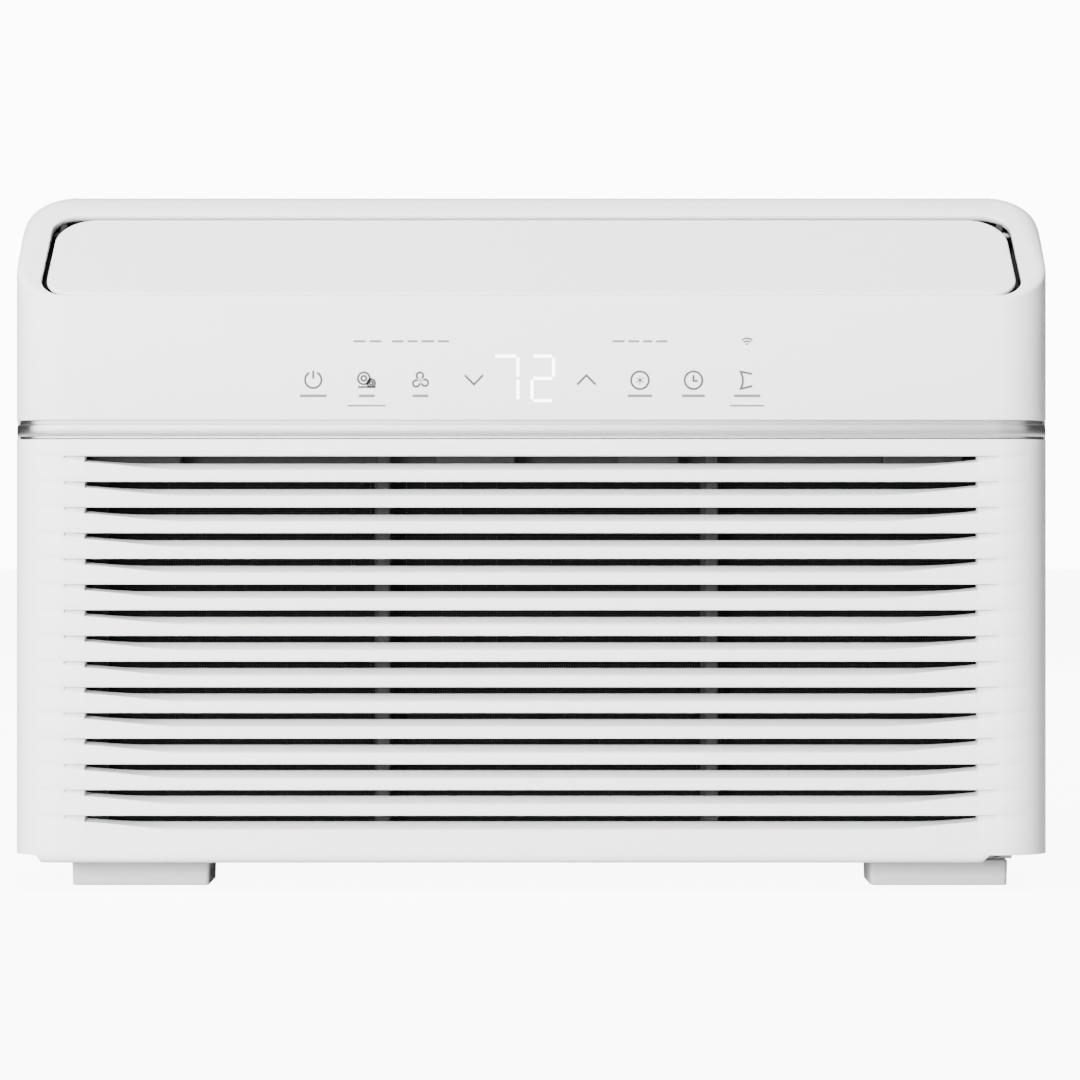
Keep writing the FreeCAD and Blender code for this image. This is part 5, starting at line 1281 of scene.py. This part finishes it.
@dataclass
class Panel:
    """The printed marks of the touch panel and its lit number.

    Attributes:
        face: The front's shape.
        row: Z of the row of marks, in mm.
        label: Z of the bars under them, in mm.
        pitch: Distance from mark to mark, in mm.
        first: X of the leftmost mark, in mm.
        shift: How much further right the marks beyond the number stand, in mm.
        thin: The width of the marks' lines, in mm.
        words: X limits of the bars that stand for the words above the marks, in mm.
    """

    face: Face
    row: float = 274.8
    label: float = 266.2
    pitch: float = 28.86
    first: float = -117.5
    shift: float = 2.9
    thin: float = 1.15
    words: tuple[tuple[float, float], ...] = (
        (-96.2, -89.0), (-87.4, -80.4), (-75.4, -68.6), (-67.2, -61.0), (-59.6, -52.0), (-50.8, -43.9),
        (43.4, 50.6), (51.9, 58.6), (59.9, 65.6), (66.9, 73.6))

    def place(self, index: int) -> float:
        """Gives the X of a mark by its number in the row."""
        return self.first + self.pitch * index + (self.shift if index > 4 else 0.0)

    def build(self, paints: Paintbox) -> None:
        """Makes the marks, the bars that stand where words would be, and the lit number."""
        pen = Pen(self.face)
        self.marks(pen)
        pen.build("panel_marks", "print_grey", paints)
        bars = Pen(self.face)
        for index, width in ((0, 14.5), (1, 8.5), (2, 8.6), (6, 13.2), (7, 12.4), (8, 14.2)):
            self.bar(bars, self.place(index), self.label, width, 1.5)
        for index, width in ((1, 20.5), (8, 18.5)):
            self.bar(bars, self.place(index), self.label - 5.3, width, 0.9)
        for left, right in self.words:
            self.bar(bars, (left + right) / 2, 295.6, right - left - 0.6, 1.1)
        bars.build("panel_bars", "print_pale", paints)
        digits = Pen(self.face, lift=0.08)
        self.number(digits)
        digits.build("panel_digits", "digit_light", paints)

    def bar(self, pen: Pen, x: float, z: float, width: float, height: float) -> None:
        """Adds a short bar with its middle at a place.

        Args:
            pen: What draws it.
            x: Its middle's X, in mm.
            z: Its middle's Z, in mm.
            width: Its length, in mm.
            height: Its height, in mm.
        """
        pen.stroke(line((x - width / 2, z), (x + width / 2, z), 2), height)

    def marks(self, pen: Pen) -> None:
        """Adds the generic marks for power, saving, fan, down, up, mode, timer, swing and wireless.

        Args:
            pen: What draws them.
        """
        z, thin = self.row, self.thin
        x = self.place(0)
        pen.ring((x, z), 4.4, thin, 118, 422)
        pen.stroke([(x, z + 0.6), (x, z + 5.0)], thin)
        x = self.place(1)
        for offset, radius in (((-1.6, 0.8), 3.2), ((2.4, -1.8), 2.1)):
            pen.ring((x + offset[0], z + offset[1]), radius, thin)
            pen.ring((x + offset[0], z + offset[1]), radius * 0.42, thin)
        pen.stroke([(x - 4.8, z - 3.9), (x + 4.8, z - 3.9)], thin)
        x = self.place(2)
        for turn in (95, 215, 335):
            centre = (x + 2.7 * math.cos(math.radians(turn)), z - 0.4 + 2.7 * math.sin(math.radians(turn)))
            pen.ring(centre, 1.75, thin, turn - 150, turn + 150)
        pen.ring((x, z - 0.4), 0.7, 0.5)
        x = self.place(3)
        pen.stroke([(x - 5.0, z + 2.6), (x, z - 2.5), (x + 5.0, z + 2.6)], thin)
        x = self.place(5)
        pen.stroke([(x - 5.0, z - 2.6), (x, z + 2.5), (x + 5.0, z - 2.6)], thin)
        x = self.place(6)
        pen.ring((x, z - 0.2), 4.75, thin)
        for turn in (30, 90, 150):
            reach = np.array([math.cos(math.radians(turn)), math.sin(math.radians(turn))]) * 2.4
            pen.stroke([(x - reach[0], z - 0.2 - reach[1]), (x + reach[0], z - 0.2 + reach[1])], 0.55)
        x = self.place(7)
        pen.ring((x, z - 0.2), 4.75, thin)
        pen.stroke([(x, z + 2.6), (x, z - 0.6), (x + 2.4, z - 0.6)], thin)
        x = self.place(8)
        pen.stroke([(x + 2.8, z + 3.2), (x - 3.4, z + 4.4), (x - 2.3, z + 1.2), (x - 2.3, z - 1.9),
                    (x - 3.4, z - 4.8), (x + 2.8, z - 3.4)], thin)
        for radius in (1.2, 2.7, 4.2):
            pen.ring((x, 293.0), radius, 0.8, 48, 132)

    def number(self, pen: Pen) -> None:
        """Adds the two lit digits, made of straight bars as on a plain seven-bar display.

        Args:
            pen: What draws them.
        """
        low, high = 263.6, 287.6
        middle = (low + high) / 2
        stroke, gap = 1.5, 0.9
        left, right = -19.3, -7.2
        pen.stroke([(left, high), (right - gap, high)], stroke)
        pen.stroke([(right, high - gap), (right, middle + gap)], stroke)
        pen.stroke([(right, middle - gap), (right, low + gap)], stroke)
        left, right = 0.4, 12.0
        pen.stroke([(left + gap, high), (right - gap, high)], stroke)
        pen.stroke([(right, high - gap), (right, middle + gap)], stroke)
        pen.stroke([(left + gap, middle), (right - gap, middle)], stroke)
        pen.stroke([(left, middle - gap), (left, low + gap)], stroke)
        pen.stroke([(left + gap, low), (right - gap, low)], stroke)


# ---------------------------------------------------------------- the rest of the outside

@dataclass
class Feet:
    """The four feet, two to a node.

    Attributes:
        width: A foot's width, in mm.
        taper: How much its foot draws in, in mm.
    """

    width: float = 75.3
    taper: float = 0.3

    def build(self, paints: Paintbox) -> None:
        """Makes the feet as soft-edged blocks that draw in a little downward."""
        for node in ("front_feet", "rear_feet"):
            low, high = span(node)
            shell = Shell()
            for left in (low[0], high[0] - self.width):
                soft_block(shell, (left, low[1], low[2]), (left + self.width, high[1], high[2]), 2.5, 1.0,
                           taper=self.taper)
            # painted shade: the feet get a darker white than the body in place of the shade that falls on them
            dress(shell.build(f"{node}_skin"), "foot_white_painted_shade", "chassis", paints, node)


@dataclass
class Louvres:
    """The pressed hoods over the air slots in the cabinet's sides.

    Attributes:
        half: X of the cabinet's side, in mm.
        front: Y of the whole machine's front, in mm.
        starts: How far behind the front each column of slots begins, in mm.
        length: A slot's length, in mm.
        low: Z of the lowest slot, in mm.
        pitch: Distance from slot to slot, in mm.
        height: A slot's height, in mm.
        rows: How many slots a column has.
        reach: How far a hood stands out, in mm.
        wall: The sheet's thickness, in mm.
    """

    half: float
    front: float
    starts: tuple[float, float] = (215.0, 305.0)
    length: float = 74.0
    low: float = 120.0
    pitch: float = 12.0
    height: float = 5.0
    rows: int = 16
    reach: float = 4.2
    wall: float = 0.7

    def build(self, paints: Paintbox) -> None:
        """Makes the hoods: out = reach sqrt(1 - (2u - 1)^6) (1 - v)^0.6, for u along the slot and v up it."""
        u, v = np.meshgrid(np.linspace(0, 1, 15), np.linspace(0, 1, 6))
        ends = np.clip(1 - (2 * u - 1) ** 6, 0, 1)
        out = self.reach * np.sqrt(ends) * (1 - v) ** 0.6
        shell = Shell()
        for side in (-1, 1):
            for start in self.starts:
                for row in range(self.rows):
                    y = self.front + start - 1.0 + (self.length + 2.0) * u
                    z = self.low + self.pitch * row - 0.2 + (self.height + 1.2) * v
                    points = np.stack([side * (self.half + out - 0.5), y, z], axis=-1) * MM
                    shell.grid(points, flip=side < 0)
        thing = shell.build("side_louvres", outward=False)
        thicken(thing, self.wall)
        dress(thing, "painted_steel", "chassis", paints)


@dataclass
class FinPack:
    """A coil's fins as many thin plates.

    Attributes:
        node: The node that the plates stand for.
        count: How many plates.
        thick: A plate's thickness, in mm.
        wave: How far a plate swings to each side, in mm.
    """

    node: str
    count: int
    thick: float = 0.22
    wave: float = 0.22

    def build(self, paints: Paintbox) -> None:
        """Makes the plates, each a sheet with a shallow wave in depth, x = place + wave sin(6 pi v)."""
        low, high = span(self.node)
        places = np.linspace(low[0] + 0.3, high[0] - 0.3, self.count)
        deep = np.linspace(low[1], high[1], 9)
        wave = self.wave * np.sin(np.linspace(0, 6 * math.pi, 9))
        shell = Shell()
        for place in places:
            around = np.concatenate([np.column_stack([place + wave - self.thick / 2, deep]),
                                     np.column_stack([place + wave + self.thick / 2, deep])[::-1]])
            rings = [np.column_stack([around, np.full(len(around), z)]) for z in (low[2], high[2])]
            shell.tube(np.array(rings) * MM)
        dress(shell.build(f"{self.node}_pack", weld=1e-8, sharp=60), "coil_fin", "chassis", paints, self.node)


# ---------------------------------------------------------------- stage

@dataclass
class Studio:
    """The pale floor, the soft light and the camera.

    Attributes:
        lens: The camera's focal length, in mm.
        stand: Where the camera stands, in metres.
        floor_glow: How bright the floor is to the camera.
        behind: How bright the surroundings are to the camera.
        shine: How bright the surroundings are to glossy rays.
    """

    lens: float = 167.0
    stand: tuple[float, float, float] = (0.0047, -2.98, 0.1885)
    floor_glow: float = 9.0
    behind: float = 12.0
    shine: float = 5.0

    def build(self) -> None:
        """Makes the stage."""
        self.camera()
        self.floor()
        self.world()
        self.lamp("key", (-1.9, -3.9, 0.55), (0, -0.2, 0.2), 1.3, 700)
        self.lamp("over", (-0.4, -1.2, 3.4), (0, -0.25, 0.3), 1.6, 210)
        self.lamp("rear", (1.2, 3.6, 2.2), (0, 0.2, 0.2), 2.6, 200)

    def camera(self) -> None:
        """Makes the camera, level and straight in front."""
        data = bpy.data.cameras.new("camera")
        data.lens, data.sensor_width = self.lens, 36.0
        data.clip_start, data.clip_end = 0.05, 200.0
        camera = bpy.data.objects.new("camera", data)
        camera.location = self.stand
        camera.rotation_euler = (math.pi / 2, 0, 0)
        bpy.context.scene.collection.objects.link(camera)
        bpy.context.scene.camera = camera

    def floor(self) -> None:
        """Makes the floor."""
        shell = Shell()
        side = np.linspace(-30, 30, 9)
        x, y = np.meshgrid(side, side)
        shell.grid(np.stack([x, y, np.full_like(x, -0.0005)], axis=-1))
        floor = shell.build("floor", outward=False)
        material = bpy.data.materials.new("floor_white")
        material.use_nodes = True
        nodes = Nodes(material.node_tree)
        shader = next(node for node in material.node_tree.nodes if node.type == "BSDF_PRINCIPLED")
        shader.inputs["Roughness"].default_value = 0.8
        shader.inputs["Base Color"].default_value = (0.5, 0.5, 0.5, 1)
        shader.inputs["Specular IOR Level"].default_value = 0.15
        noise = nodes.add("TexNoise")
        noise.inputs["Scale"].default_value = 900
        nodes.wire(nodes.add("TexCoord").outputs["Object"], noise.inputs["Vector"])
        bump = nodes.add("Bump")
        bump.inputs["Distance"].default_value = 0.00005
        nodes.wire(noise.outputs[0], bump.inputs["Height"])
        nodes.wire(bump.outputs[0], shader.inputs["Normal"])
        shader.inputs["Emission Color"].default_value = (1, 1, 1, 1)
        glow = nodes.maths("MULTIPLY", nodes.add("LightPath").outputs["Is Camera Ray"], self.floor_glow)
        nodes.wire(glow, shader.inputs["Emission Strength"])
        floor.data.materials.append(material)
        floor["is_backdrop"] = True

    def world(self) -> None:
        """Makes the surroundings.

        They glow from the front and above, with a graded shine for glossy rays and plain white for the camera.
        """
        world = bpy.data.worlds.new("surroundings")
        bpy.context.scene.world = world
        world.use_nodes = True
        nodes = Nodes(world.node_tree)
        plain = next(node for node in world.node_tree.nodes if node.type == "BACKGROUND")
        output = next(node for node in world.node_tree.nodes if node.type == "OUTPUT_WORLD")
        plain.inputs["Color"].default_value = (1, 1, 1, 1)
        parts = nodes.add("SeparateXYZ")
        nodes.wire(nodes.add("TexCoord").outputs["Generated"], parts.inputs[0])
        shine = nodes.add("LightPath").outputs["Is Glossy Ray"]
        right = nodes.maths("MULTIPLY", parts.outputs[0], 1.0, clamp=True)
        reach = nodes.maths("MULTIPLY_ADD", parts.outputs[1], -2.2)
        reach.node.inputs[2].default_value = 0.1
        bright = nodes.maths("SUBTRACT", reach, nodes.maths("MULTIPLY", right, 0.6), clamp=True)
        falling = nodes.maths("MAXIMUM", nodes.maths("SUBTRACT", 1.0, nodes.maths("MULTIPLY", right, 11.0)),
                              0.2)
        gloss = nodes.maths("MULTIPLY", shine, self.shine)
        mirror = nodes.maths("MULTIPLY", nodes.maths("MULTIPLY", bright, falling), gloss)
        front = nodes.maths("MULTIPLY", parts.outputs[1], -0.25, clamp=True)
        above = nodes.maths("MULTIPLY", parts.outputs[2], 0.15, clamp=True)
        total = nodes.maths("ADD", nodes.maths("ADD", front, mirror), nodes.maths("ADD", above, 0.06))
        nodes.wire(total, plain.inputs["Strength"])
        seen = nodes.add("Background")
        seen.inputs["Color"].default_value = (1, 1, 1, 1)
        seen.inputs["Strength"].default_value = self.behind
        mix = nodes.add("MixShader")
        nodes.wire(nodes.add("LightPath").outputs["Is Camera Ray"], mix.inputs[0])
        nodes.wire(plain.outputs[0], mix.inputs[1])
        nodes.wire(seen.outputs[0], mix.inputs[2])
        nodes.wire(mix.outputs[0], output.inputs["Surface"])

    def lamp(self, name: str, place: Sequence[float], aim: Sequence[float], size: float,
             power: float) -> None:
        """Makes a soft light.

        Args:
            name: Its name.
            place: Where it stands, in metres.
            aim: What it points at, in metres.
            size: Its side, in metres.
            power: Its power, in watts.
        """
        data = bpy.data.lights.new(name, "AREA")
        data.shape, data.size, data.energy = "SQUARE", size, power
        lamp = bpy.data.objects.new(name, data)
        lamp.visible_glossy = False
        lamp.location = place
        lamp.rotation_euler = (Vector(aim) - Vector(place)).to_track_quat("-Z", "Y").to_euler()
        bpy.context.scene.collection.objects.link(lamp)


# ---------------------------------------------------------------- the whole

def dress_frame(paints: Paintbox) -> None:
    """Gives every node that still shows its finish.

    Args:
        paints: The finishes.
    """
    slots = {part["node"]: part["material_slot"] for part in frame["record"]["subparts"]}
    for name, thing in frame["nodes"].items():
        material = paints.get(slots[name])
        if not thing.material_slots:
            thing.data.materials.append(material)
        for slot in thing.material_slots:
            slot.material = material


def corners() -> list[list[float]]:
    """Gives the whole object's lowest and highest corners as plain lists."""
    return [[float(value) for value in corner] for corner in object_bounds()]


def main() -> None:
    """Builds the looks round the frame."""
    logging.basicConfig(level=logging.INFO, format="%(message)s")
    whole = {"cad": corners()}
    low, high = (np.array(corner) / MM for corner in whole["cad"])
    paints = Paintbox()
    face = Face(front=low[1], half=(high[0] - low[0]) / 2, top=high[2])
    bezel_low, bezel_high = span("front_bezel")
    grille_low, grille_high = span("intake_grille")
    trim_low, trim_high = span("trim_strip")
    _, cabinet_high = span("cabinet")
    rail_low, rail_high = span("bottom_rail")
    Studio().build()
    dress_frame(paints)
    Bezel(face, back=bezel_high[1] - face.front, cheek_low=bezel_low[2]).build(paints)
    Flap(face).build(paints)
    Grille(face, low=grille_low[2], side_low=bezel_low[2], top=grille_high[2],
           lip=(rail_low[0], rail_high[0])).build(paints)
    Trim(face, low=trim_low[2], high=trim_high[2]).build(paints)
    Panel(face).build(paints)
    Feet().build(paints)
    Louvres(half=cabinet_high[0], front=face.front).build(paints)
    FinPack("condenser_fins", 230).build(paints)
    whole["visual"] = corners()
    log.info("pieces made")


if __name__ == "__main__":
    main()
